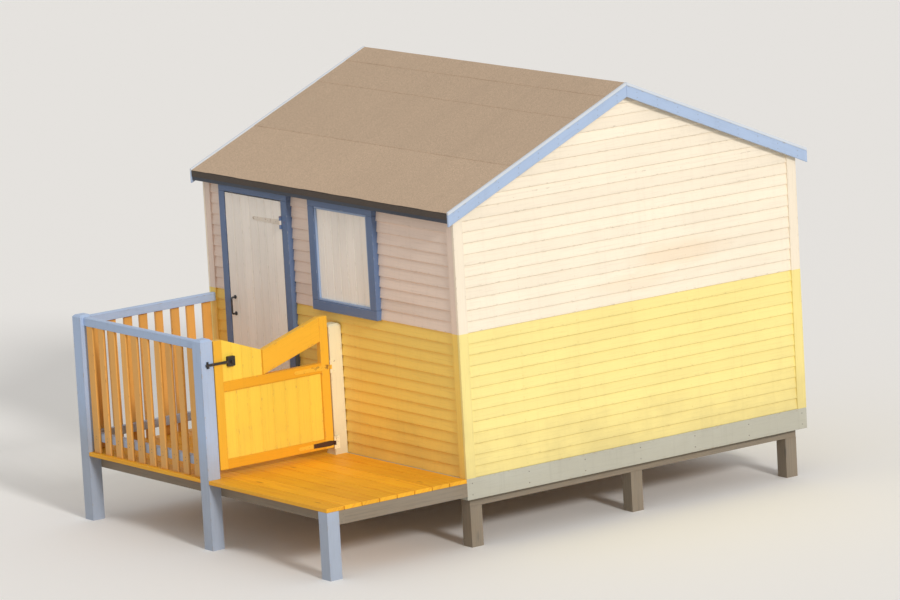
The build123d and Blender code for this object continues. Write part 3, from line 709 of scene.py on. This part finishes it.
# Side walls
inner_back, inner_front = hut_back + wall_depth, hut_front - wall_depth
beside = (frame_width - frame_lining) / 2
right_studs = spaced(inner_back + stud / 2, inner_front - stud / 2, side_studs)
left_studs = [right_studs[0], rear_stud_y, win_lo.y + beside, win_hi.y - beside, door_lo.y + beside,
              door_hi.y - beside, right_studs[-1]]
left_nails = (right_studs[0], rear_stud_y, win_hi.y + nail_in, 0.38, -0.18)
holes = [(win_lo.y, win_hi.y, win_lo.z, win_hi.z), (door_lo.y, door_hi.y, door_lo.z - 0.01, door_hi.z)]
left_nodes = ["wall_left_rear", "wall_left_under_window", "wall_left_middle", "wall_left_front"]


def side_wall(name, nodes, face, inward, seed, paints, nails, holes=()):
    def point(s, d, z):
        return (face + inward * d, s, z)

    def beside_holes(s, z, clear=0.005):
        return not any(h[0] - clear < s < h[1] + clear and h[2] - clear < z < h[3] + clear for h in holes)

    b = Boards(seed)
    into = (inward, 0, 0)
    back, front = hut_back + corner_width, hut_front - corner_width
    cladding(b, point, Y, into, lambda z: back, lambda z: front, wall_top, holes)
    for s0, s1 in ((hut_back + clad_core, back), (front, hut_front - clad_core)):
        corner_board(b, point, into, s0, s1, lambda s: wall_top)
    nail_lines(b, point, (-inward, 0, 0), nails, wall_top, beside_holes)
    b.piece(f"{name}_cladding", [*paints, pine], nodes)


side_wall("right_wall", ["wall_right"], hut_right, -1, 31, [cream_boards, yellow_boards], right_studs)
# The left wall takes the copies of its paints that carry painted shade
side_wall("left_wall", left_nodes, hut_left, 1, 41, [cream_painted_shade, yellow_painted_shade], left_nails, holes)

b = Boards(51)
plate_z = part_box("wall_plates")[0].z
doorway = (door_lo.y + 2 * beside, door_hi.y - 2 * beside)
right_faces = (hut_right - wall_depth, hut_right - clad_core)
left_faces = (hut_left + clad_core, hut_left + wall_depth)
sides = ((*right_faces, right_studs, []), (*left_faces, left_studs, [doorway]))
for xa, xb, studs, _ in sides:
    for y in studs:
        plan = rectangle(xa, y - stud / 2, xb, y + stud / 2)
        b.board()
        b.prism([(x, y, sole_top) for x, y in plan], [(x, y, roof_under(x)) for x, y in plan], Z)
for xa, xb, studs, gaps in sides:
    for y0, y1 in free_intervals(inner_back, inner_front, gaps):
        b.box((xa, y0, floor_z), (xb, y1, sole_top), Y)
    # Plate between the studs' heads, its upper face on the slope
    section = [(xa, plate_z), (xb, plate_z), (xb, roof_under(xb)), (xa, roof_under(xa))]
    for y0, y1 in zip(studs, studs[1:]):
        b.run(section, y0 + stud / 2, y1 - stud / 2)
b.box((left_faces[0], win_lo.y + 2 * beside, win_lo.z + trimmer_gap),
      (left_faces[1], win_hi.y - 2 * beside, win_lo.z + 2 * beside - trimmer_gap), Y)
b.piece("side_wall_studs", [pine], ["wall_plates"], bevel=0.002)


# Window and door
def surround(name, node, lo, hi, seed, sill):
    """Boards round an opening: jambs, head and, for a window, a sill, with the lining through the wall."""
    b = Boards(seed)
    face, back, inner = win_lo.x, left_faces[0], left_faces[1]
    y0, y1, head = lo.y + frame_width, hi.y - frame_width, hi.z - frame_width
    foot = lo.z + (frame_width if sill else 0)
    b.box((face, lo.y, head), (back, hi.y, hi.z), Y)
    for ya, yb in ((lo.y, y0), (y1, hi.y)):
        b.box((face, ya, foot), (back, yb, head - joint), Z)
    if sill:
        b.box((face, lo.y, lo.z), (back, hi.y, foot - joint), Y)
    for ya, yb in ((y0 - frame_lining, y0), (y1, y1 + frame_lining)):
        b.box((back, ya, foot), (inner, yb, head), Z)
    for z in (head, foot - frame_lining) if sill else (head,):
        b.box((back, y0 - frame_lining, z), (inner, y1 + frame_lining, z + frame_lining), Y)
    b.piece(name, [mid_blue], [node], bevel=0.003, segments=2)
    return y0, y1, foot, head


win_y0, win_y1, win_foot, win_head = surround("window_surround", "window_frame", win_lo, win_hi, 61, True)
shut_lo, shut_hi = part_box("window_shutter")
b = Boards(65)
bead_face = shut_lo.x - bead
for z in (win_foot, win_head - bead):
    b.box((bead_face, win_y0, z), (shut_lo.x, win_y1, z + bead), Y)
for y in (win_y0, win_y1 - bead):
    b.box((bead_face, y, win_foot + bead), (shut_lo.x, y + bead, win_head - bead), Z)
b.piece("window_bead", [bead_blue], bevel=0.004, segments=3)
door_y0 = surround("door_surround", "door_frame", door_lo, door_hi, 62, False)[0]

pins = Boards(66)
jamb_nails = (0.62, 0.95, 1.35, 1.75, 2.0)
jamb_end = 0.08
places = [(y, z) for y in (win_lo.y + nail_edge, win_hi.y - nail_edge)
          for z in spaced(win_foot + jamb_end, win_head - jamb_end, 3)]
places += [(y, z) for z in (win_lo.z + nail_edge, win_hi.z - nail_edge)
           for y in spaced(win_lo.y + nail_end, win_hi.y - nail_end, 3)]
places += [(y, z) for y in (door_lo.y + nail_in, door_hi.y - nail_in) for z in jamb_nails]
places += [(y, door_hi.z - nail_edge) for y in spaced(door_lo.y + nail_end, door_hi.y - nail_end, 3)]
for y, z in places:
    pins.nail((door_lo.x, y, z), (-1, 0, 0), FRAME_NAIL)
pins.piece("frame_nails", [mid_blue])


def on_row(axis, s, t, z):
    """A point s along a row on the x or the y axis and t across it."""
    return (t, s, z) if axis == "y" else (s, t, z)


def row_of(axis, lo, hi):
    return (lo.y, hi.y, lo.x, hi.x) if axis == "y" else (lo.x, hi.x, lo.y, hi.y)


def upright_boards(b, lo, hi, count, axis="y", top=None):
    """Vertical boards side by side with a V along each joint. top gives their heights along the row."""
    a0, a1, t0, t1 = row_of(axis, lo, hi)
    for s0, s1 in parts(a0, a1, count):
        ring = [(s0 + vee, t0), (s1 - vee, t0), (s1, t0 + vee), (s1, t1), (s0, t1), (s0, t0 + vee)]
        b.board()
        b.prism([on_row(axis, s, t, lo.z) for s, t in ring],
                [on_row(axis, s, t, top(s) if top else hi.z) for s, t in ring], Z)


def leaf_nails(b, lo, hi, z, apart):
    """Two nails in each of a leaf's boards, at the height of a ledge."""
    for y in middles(lo.y, hi.y, leaf_boards):
        for dy in (-apart, apart):
            b.nail((lo.x + leaf_nail_in, y + dy, z), (-1, 0, 0), LEAF_NAIL)


b = Boards(63)
ledge_x = shut_lo.x + leaf_board
upright_boards(b, shut_lo, Vector((ledge_x, shut_hi.y, shut_hi.z)), leaf_boards)
for z in (shut_lo.z + ledge_depth / 2, shut_hi.z - ledge_depth * 1.5):
    b.box((ledge_x, shut_lo.y + ledge_end, z), (shut_hi.x, shut_hi.y - ledge_end, z + ledge_depth), Y)
    leaf_nails(b, shut_lo, shut_hi, z + ledge_depth / 2, 0.022)
b.piece("window_shutter_boards", [door_paint], ["window_shutter"])

leaf_lo, leaf_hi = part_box("door_boards")
led_lo, led_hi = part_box("door_ledges")
b = Boards(64)
upright_boards(b, leaf_lo, leaf_hi, leaf_boards)
for z in (led_lo.z + ledge_depth / 2, (led_lo.z + led_hi.z) / 2, led_hi.z - ledge_depth / 2):
    leaf_nails(b, leaf_lo, leaf_hi, z, 0.024)
b.piece("door_leaf_boards", [door_paint], ["door_boards"], body="door")


# Roof
def on_side(side, x):
    """A place x of the left slope, or the same place of the right one."""
    return x if side < 0 else 2 * ridge_x - x


def roof_strip(b, side, u0, u1, lift, steps, rng):
    """One closed strip of felt on a slope, from u0 to u1 up from the eave, lifted off the boards and
    uneven. Its top is smooth, and its rims and underside have points of their own."""
    b.board()
    p0, p1, p2, _ = (rng.uniform(0, 6.28) for _ in range(4))

    def top(u, y):
        x = felt_edge + (ridge_x - felt_edge) * u
        swell = math.sin(y * 5.1 + p0) * math.sin(u * 9 + p1)
        crease = 0.6 * math.sin(y * 11.3 + p2 + u * 4)
        ripple = max(felt_wave * (swell + crease), felt_dip)
        return on_side(side, x), y, roof_under(x) + board_rise + lift + ripple

    ys = spaced(roof_back, roof_front, felt_steps + 1)
    rows = [[b.bm.verts.new(top(u, y)) for y in ys] for u in spaced(u0, u1, steps + 1)]
    down = Vector((0, 0, -felt_skin))
    under = [[b.bm.verts.new(v.co + down) for v in row] for row in rows]
    sheet, rims = [], []
    for i in range(steps):
        for j in range(felt_steps):
            sheet.append(b.bm.faces.new((rows[i][j], rows[i][j + 1], rows[i + 1][j + 1], rows[i + 1][j])))
            low, high = under[i], under[i + 1]
            rims.append(b.bm.faces.new((low[j], high[j], high[j + 1], low[j + 1])))

    def sides_of(grid):
        return grid[0], grid[-1][::-1], [row[0] for row in grid][::-1], [row[-1] for row in grid]

    for high, low in zip(sides_of(rows), sides_of(under)):
        edge = [b.bm.verts.new(v.co) for v in high]
        for k in range(len(high) - 1):
            rims.append(b.bm.faces.new((low[k], low[k + 1], edge[k + 1], edge[k])))
    sheet[0].normal_update()
    if sheet[0].normal.z < 0:
        bmesh.ops.reverse_faces(b.bm, faces=sheet + rims)
    for f in sheet:
        f.smooth = True
    for f in sheet + rims:
        f[b.tone] = b.shade
        for l in f.loops:
            l[b.grain].uv = (l.vert.co.y + b.shift[0], l.vert.co.x + b.shift[1])
            l[b.edge].uv = (0.5, 0.5)


for side, node, seed in ((-1, "felt_left", 71), (1, "felt_right", 72)):
    b = Boards(seed)
    rng = random.Random(700 + side)
    base = felt_rise * 0.5
    for u0, u1, lift, steps in felt_strips:
        roof_strip(b, side, u0, u1, base + lift, steps, rng)
    # Turned down over the eave, in dark felt that is painted shade under the roof's edge
    behind = eave_x - felt_gap
    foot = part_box("felt_left")[0].z + felt_hem
    head = roof_under(felt_edge) + board_rise + base
    section = ((felt_edge, foot), (behind, foot), (behind, head + felt_fall), (felt_edge, head))
    b.run([(on_side(side, x), z) for x, z in section], roof_back, roof_front, 1)
    for u0, _, lift, _ in felt_strips[1:]:
        x = felt_edge + (ridge_x - felt_edge) * (u0 + felt_nail_in)
        z = roof_under(x) + board_rise + lift + felt_nail_up
        for y in spaced(roof_back + nail_end, roof_front - nail_end, felt_nails):
            b.nail((on_side(side, x), y, z), (side * math.sin(pitch), 0, math.cos(pitch)), FELT_NAIL)
    b.piece(f"roof_{node}", [felt_mat, shaded_drip_felt], [node])

# Boards under the felt, side by side along the roof, with a V along each joint underneath
for side, node, seed in ((-1, "roof_boards_left", 75), (1, "roof_boards_right", 76)):
    b = Boards(seed)
    for s0, s1 in parts(eave_x, ridge_x, sarking_count):
        x0, x1 = s0 + sarking_gap, s1 - sarking_gap
        ring = [(x0 + vee, 0), (x1 - vee, 0), (x1, vee), (x1, board_rise), (x0, board_rise), (x0, vee)]
        b.run([(on_side(side, x), roof_under(x) + up) for x, up in ring], roof_back, roof_front)
    b.piece(f"{node}_sarking", [pine], [node])

# Bargeboards, a lighter strip along their upper edge
for name, way, seed in (("back", -1, 81), ("front", 1, 82)):
    b = Boards(seed)
    pins = Boards(seed + 2)
    node = f"bargeboards_{name}"
    lo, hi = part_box(node)
    outer, inner = (lo.y, hi.y) if way < 0 else (hi.y, lo.y)
    shy = outer - way * barge_shy
    drop, strip = barge_depth / math.cos(pitch), barge_strip / math.cos(pitch)
    ze = hi.z - slope * (ridge_x - lo.x)
    for side, xe in ((-1, lo.x), (1, hi.x)):
        xr = ridge_x + side * joint
        along = (ridge_x - xe, 0, hi.z - ze)
        b.board()
        for top, low, face, mat in ((0, strip, outer, 1), (strip, drop, shy, 0)):
            section = [(xe, ze - top), (xr, hi.z - top), (xr, hi.z - low), (xe, ze - low)]
            b.run(section, face, inner, mat, along, new=False)
        for f in middles(0, 1, barge_nails):
            for dz in barge_rows:
                pins.nail((xe + (ridge_x - xe) * f, shy, ze + (hi.z - ze) * f - dz), (0, way, 0))
    pins.piece(f"{name}_bargeboard_nails", [painted_nail])
    b.piece(f"{name}_bargeboards", [pale_blue, pale_edge], [node], bevel=0.0025, segments=2)

# Skirting
gab_lo, gab_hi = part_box("skirting_gables")
side_lo, side_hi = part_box("skirting_sides")
b = Boards(86)
pins = Boards(87)
for way, y0, y1 in ((-1, gab_lo.y, gab_lo.y + skirting), (1, gab_hi.y - skirting, gab_hi.y)):
    b.box((gab_lo.x, y0, gab_lo.z), (gab_hi.x, y1, gab_hi.z), X)
    for x in spaced(gab_lo.x + stud_inset, gab_hi.x - stud_inset, gable_studs):
        for z in (gab_lo.z + nail_edge, gab_hi.z - nail_edge):
            pins.nail((x, y0 if way < 0 else y1, z), (0, way, 0))
for x0 in (side_lo.x, side_hi.x - skirting):
    b.box((x0, side_lo.y, side_lo.z), (x0 + skirting, side_hi.y, side_hi.z), Y)
for y in spaced(side_lo.y + nail_end, side_hi.y - nail_end, side_studs):
    for z in (side_lo.z + nail_edge, side_hi.z - nail_edge):
        pins.nail((side_hi.x, y, z), X)
b.piece("skirting_boards", [putty], ["skirting_gables", "skirting_sides"], bevel=0.003,
        segments=2)
pins.piece("skirting_nails", [nail_iron])

# Deck
b = Boards(91)
pins = Boards(90)
wall_post_lo, wall_post_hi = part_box("gate_wall_post")
gate_y = (wall_post_lo.y + wall_post_hi.y) / 2
end_y = deck_hi.y - post / 2
post_edge = deck_lo.x + post
posts_y = [(gate_y - post / 2, gate_y + post / 2), (end_y - post / 2, deck_hi.y)]
for i, (x0, x1) in enumerate(parts(deck_lo.x, deck_hi.x, deck_count)):
    x0 += deck_gap / 2 if i else 0
    x1 -= deck_gap / 2 if i < deck_count - 1 else 0
    b.board()
    edges = [x0, post_edge, x1] if x0 < post_edge < x1 else [x0, x1]
    for xa, xb in zip(edges, edges[1:]):
        blocked = [(p0 - post_gap, p1 + post_gap) for p0, p1 in posts_y] if xb <= post_edge + hair else []
        for ya, yb in free_intervals(deck_lo.y, deck_hi.y, blocked):
            b.box((xa, ya, deck_lo.z), (xb, yb, deck_hi.z), Y, new=False)
    for y in spaced(deck_lo.y + joist_half, deck_hi.y - joist_half, joist_count):
        at_post = any(p0 - post_clear < y < p1 + post_clear for p0, p1 in posts_y)
        for x in (x0 + nail_in, x1 - nail_in):
            if x >= post_edge + DECK_NAIL[0] or not at_post:
                pins.nail((x, y, deck_hi.z - deck_nail_in), Z, DECK_NAIL)
b.piece("deck_boards", [deck_stain], ["deck_floor"], bevel=0.003, segments=2)
pins.piece("deck_nails", [nail_iron])


def capped_post(b, lo, hi, c=post_chamfer):
    """A square post with its top edges cut back by c to shed rain."""
    b.board()
    (x0, y0, z0), (x1, y1, z1) = lo, hi
    low = [(x, y, z0) for x, y in rectangle(x0, y0, x1, y1)]
    mid = [(x, y, z1 - c) for x, y, _ in low]
    top = [(x, y, z1) for x, y in rectangle(x0 + c, y0 + c, x1 - c, y1 - c)]
    b.prism(low, mid, Z)
    b.prism(mid, top, Z)


posts_lo, posts_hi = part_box("deck_posts")
b = Boards(92)
capped_post(b, (posts_lo.x, posts_lo.y, 0), (posts_hi.x, posts_lo.y + post, deck_lo.z), foot_chamfer)
for y0, y1 in posts_y:
    capped_post(b, (posts_lo.x, y0, 0), (posts_hi.x, y1, posts_hi.z))
b.piece("deck_corner_posts", [pale_blue], ["deck_posts"])
b = Boards(93)
capped_post(b, wall_post_lo, (wall_post_hi.x + clad_out, wall_post_hi.y, wall_post_hi.z))
b.piece("gate_post_at_wall", [post_paint], ["gate_wall_post"])


# Balustrade
def rail_section(high, angles, rounding):
    """A rail's section below a height, its upper edges rounded in steps at the angles."""
    low = high - rail_depth
    ring = [(-rail_half, low), (rail_half, low)]
    for sign, turns in ((1, angles), (-1, angles[::-1])):
        for t in map(math.radians, turns):
            s = rail_half - rounding + rounding * math.cos(t)
            ring.append((sign * s, high - rounding + rounding * math.sin(t)))
    return ring


rail_x = posts_lo.x + post / 2
rail_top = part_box("deck_rails")[1].z
b = Boards(94)
handrail = rail_section(rail_top, (0, 30, 60, 90), rail_rounding)
lower_rail = rail_section(low_rail + rail_depth, (0,), 0)
for section, shift in ((handrail, 0.0), (lower_rail, picket_thick)):
    b.run([(rail_x + shift + s, z) for s, z in section], posts_y[0][1], posts_y[1][0])
    b.board()
    b.prism([(posts_hi.x, end_y - shift + s, z) for s, z in section],
            [(hut_left + clad_out, end_y - shift + s, z) for s, z in section], X)
b.piece("balustrade_rails", [pale_blue], ["deck_rails"], bevel=0.0015)


def pickets(name, node, count, axis, seed):
    """A row of upright pickets, no two quite alike, nailed to the lower rail."""
    lo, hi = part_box(node)
    b = Boards(seed)
    pins = Boards(seed + 200)
    rng = random.Random(seed)
    a0, a1, t0, t1 = row_of(axis, lo, hi)
    outer, normal = (t0, -1) if axis == "y" else (t1, 1)
    for c in spaced(a0 + picket_width / 2, a1 - picket_width / 2, count):
        lean, foot = rng.uniform(-picket_lean, picket_lean), rng.uniform(-picket_slip, picket_slip)
        half = picket_width / 2 + rng.uniform(*picket_play)
        low, high = ([on_row(axis, s + shift, t, z) for s, t in rectangle(c - half, t0, c + half, t1)]
                     for z, shift in ((lo.z, foot), (hi.z, lean)))
        b.board()
        b.prism(low, high, Z)
        for z in picket_nails:
            pins.nail(on_row(axis, c, outer, z), on_row(axis, 0, normal, 0), PICKET_NAIL)
    b.piece(name, [picket_paint], [node], bevel=0.002)
    pins.piece(f"{name}_nails", [nail_iron])


pickets("balustrade_side_pickets", "side_pickets", 10, "y", 95)
pickets("balustrade_end_pickets", "end_pickets", 8, "x", 96)

# Gate
gate_lo, gate_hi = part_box("gate_boards")
rails_lo, rails_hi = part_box("gate_rails")
brace_lo, brace_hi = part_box("gate_brace")
stile_lo, stile_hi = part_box("gate_stiles")
mid_top = rails_hi.z
dip_x, dip_z = brace_lo.x, floor_z + gate_dip
stile_top = floor_z + latch_stile
dip_slope = (dip_z - stile_top) / (dip_x - gate_lo.x)
b = Boards(97)
upright_boards(b, gate_lo, Vector((gate_hi.x, gate_hi.y, mid_top - gate_member)), 8, axis="x")
upright_boards(b, Vector((gate_lo.x, gate_lo.y, mid_top)), Vector((dip_x, gate_hi.y, stile_top)), 4,
               axis="x", top=lambda s: stile_top + dip_slope * (s - gate_lo.x))
b.piece("gate_panel_boards", [gold_paint], ["gate_boards"], body="gate")

b = Boards(98)
b.box(stile_lo, (stile_lo.x + gate_member, stile_hi.y, stile_top), Z)
b.box((stile_hi.x - gate_member, stile_lo.y, stile_lo.z), stile_hi, Z)
# The rails take the second paint, deeper orange with painted shade
for z in (rails_lo.z, mid_top - gate_member):
    b.box((rails_lo.x, rails_lo.y, z), (rails_hi.x, rails_hi.y, z + gate_member), X, 1)
brace_rise = brace_hi.z - dip_z
section = [(dip_x, mid_top), (brace_hi.x, mid_top + brace_rise), (brace_hi.x, brace_hi.z), (dip_x, dip_z)]
b.run(section, brace_lo.y, brace_hi.y, along=(brace_hi.x - dip_x, 0, brace_rise))
framing = ["gate_stiles", "gate_rails", "gate_brace"]
b.piece("gate_framing", [amber_paint, rail_paint_and_shade], framing, bevel=0.003, segments=2,
        body="gate")

# Floor inside
floor_lo, floor_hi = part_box("hut_floor")
b = Boards(99)
for x0, x1 in parts(floor_lo.x, floor_hi.x, floor_count):
    b.box((x0, floor_lo.y, floor_lo.z), (x1 - floor_gap, floor_hi.y, floor_hi.z), Y)
b.piece("floor_boards", [pine], ["hut_floor"], bevel=0.0012)


# Screws
def screws(name, body, coat, places, normal, head=STRAP_SCREW):
    """Countersunk screw heads: a shallow dome with a driving slot sunk in it."""
    b = Boards(sum(map(ord, name)))
    radius, proud = head
    normal = Vector(normal)
    for at in places:
        b.board()
        turn = b.rng.uniform(0, math.pi)
        u, v = square_to(normal)
        u, v = u * math.cos(turn) + v * math.sin(turn), v * math.cos(turn) - u * math.sin(turn)
        at = Vector(at)
        b.prism(circle(at - normal * screw_root, u, v, radius, 12),
                circle(at + normal * proud, u, v, radius * screw_dome, 12), normal)
        top = at + normal * (proud + slot_proud)
        slot = [top + (u * x + v * y) * radius for x, y in rectangle(-slot_l, -slot_w, slot_l, slot_w)]
        b.prism([p - normal * slot_depth for p in slot], slot, normal, 1)
    b.piece(name, [coat, slot_dark], body=body)


strap_face = door_lo.x - plate
pin_y = (door_y0 + leaf_lo.y) / 2
heights = (leaf_lo.z + strap_in, leaf_hi.z - strap_in)
screws("door_strap_screws", "door", door_iron,
       [(strap_face, pin_y + d, z) for z in heights for d in door_screws], (-1, 0, 0))
screws("door_plate_screws", "hut", plate_iron,
       [(strap_face, pin_y - plate_reach, z + d) for z in heights for d in plate_screws], (-1, 0, 0))
pin_x = stile_hi.x + gate_pin_out
strap_face = stile_lo.y - plate
heights = (stile_lo.z + gate_member / 2, mid_top - gate_member / 2)
screws("gate_strap_screws", "gate", strap_iron,
       [(pin_x - d, strap_face, z) for z in heights for d in gate_screws], (0, -1, 0))
screws("gate_plate_screws", "hut", plate_iron,
       [(pin_x + plate_reach, strap_face, z + d) for z in heights for d in plate_screws], (0, -1, 0))

pull_lo, pull_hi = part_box("door_pull")
pull_y = (pull_lo.y + pull_hi.y) / 2
dz, dy = pull_screws
screws("door_pull_screws", "door", black_iron,
       [(door_lo.x - pull_plate, pull_y + y, z) for z in (pull_lo.z + dz, pull_hi.z - dz) for y in (-dy, dy)],
       (-1, 0, 0), PULL_SCREW)
latch_lo, latch_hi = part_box("gate_latch")
latch_x, latch_y, latch_z = latch_hi.x - latch_in, stile_lo.y - latch_plate, (latch_lo.z + latch_hi.z) / 2
dx, dz = latch_screws
screws("gate_latch_screws", "gate", black_iron,
       [(latch_x + x, latch_y, latch_z + z) for x in (-dx, dx) for z in (-dz, dz)], (0, -1, 0), LATCH_SCREW)
keep_lo, keep_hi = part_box("gate_keeper")
screws("gate_keeper_screws", "hut", black_iron,
       [((keep_lo.x + keep_hi.x) / 2, strap_face, latch_z + keeper_up)], (0, -1, 0), KEEPER_SCREW)

# Carried-over solids
finishes = (
    (aged_x, ("bearers", "deck_joists")),
    (aged_y, ("deck_beams", "door_threshold")),
    (aged_z, ("hut_legs",)),
    (pine_x, ("rafters",)),
    (pine_y, ("floor_joists", "ridge_board")),
    # The fascia's dark slate is partly its paint and partly painted shade under the eave
    (painted("fascia_paint", rgb(54, 62, 76), axis="y", wear=0.8), ("fascias",)),
    (painted("door_ledge_paint", DOOR, axis="y"), ("door_ledges",)),
    (door_iron, ("door_straps",)),
    (strap_iron, ("gate_straps",)),
    (plate_iron, ("hinge_plates",)),
    (black_iron, ("door_pull", "gate_latch", "gate_keeper")),
)
for mat, nodes in finishes:
    for node in nodes:
        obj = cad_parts[node]
        if not obj.material_slots:
            obj.data.materials.append(mat)
        for slot in obj.material_slots:
            slot.link = "OBJECT"
            slot.material = mat

# Floor, light and camera
reach = 80
ground = bpy.data.meshes.new("ground")
corners = [(x, y, 0) for x, y in rectangle(-reach, -reach, reach, reach)]
ground.from_pydata(corners, [], [(0, 1, 2, 3)])
floor_obj = placed("studio_floor", ground)
n = Nodes("studio_floor")
seen = n.new("LightPath").outputs["Is Camera Ray"]
ground.materials.append(n.finish(n.mix(seen, (0.78, 0.77, 0.75, 1), (0.96, 0.955, 0.945, 1)), 0.9))

w = Nodes("studio", "worlds")
scene.world = w.owner
sky = w.tree.nodes["Background"]
w.put(sky, "Color", (1.0, 0.975, 0.945, 1))
w.put(sky, "Strength", 0.58)
backdrop = w.new("Background", {"Color": (0.9, 0.9, 0.89, 1)})
rays = w.new("LightPath").outputs
direct = rays["Is Camera Ray"]
for name in ("Is Glossy Ray", "Is Transmission Ray"):
    direct = w.math("MAXIMUM", direct, rays[name])
shaders = {0: direct, 1: sky.outputs["Background"], 2: backdrop.outputs["Background"]}
w.put(w.tree.nodes["World Output"], "Surface", w.new("MixShader", shaders).outputs["Shader"])

sun = bpy.data.lights.new("key", "SUN")
sun.energy = 1.62
sun.angle = math.radians(9)
sun.color = (1.0, 0.975, 0.94)
towards = Vector((-0.12, -0.87, 0.42)).normalized()
placed("key", sun, towards.to_track_quat("Z", "Y"))

camera = bpy.data.cameras.new("camera")
eye = Vector((hut_left - 24.51, hut_back - 33.239, floor_z + 8.909))
target = Vector((0.08, 0.0, 1.42))
roll = math.radians(-3.2)
level = Vector(X).rotation_difference(Vector((math.cos(roll), math.sin(roll), 0)))
cam_obj = placed("camera", camera, (target - eye).to_track_quat("-Z", "Y") @ level)
cam_obj.location = eye
camera.lens = 246
camera.clip_start, camera.clip_end = 1, 400
scene.camera = cam_obj
scene.view_settings.view_transform = "Standard"
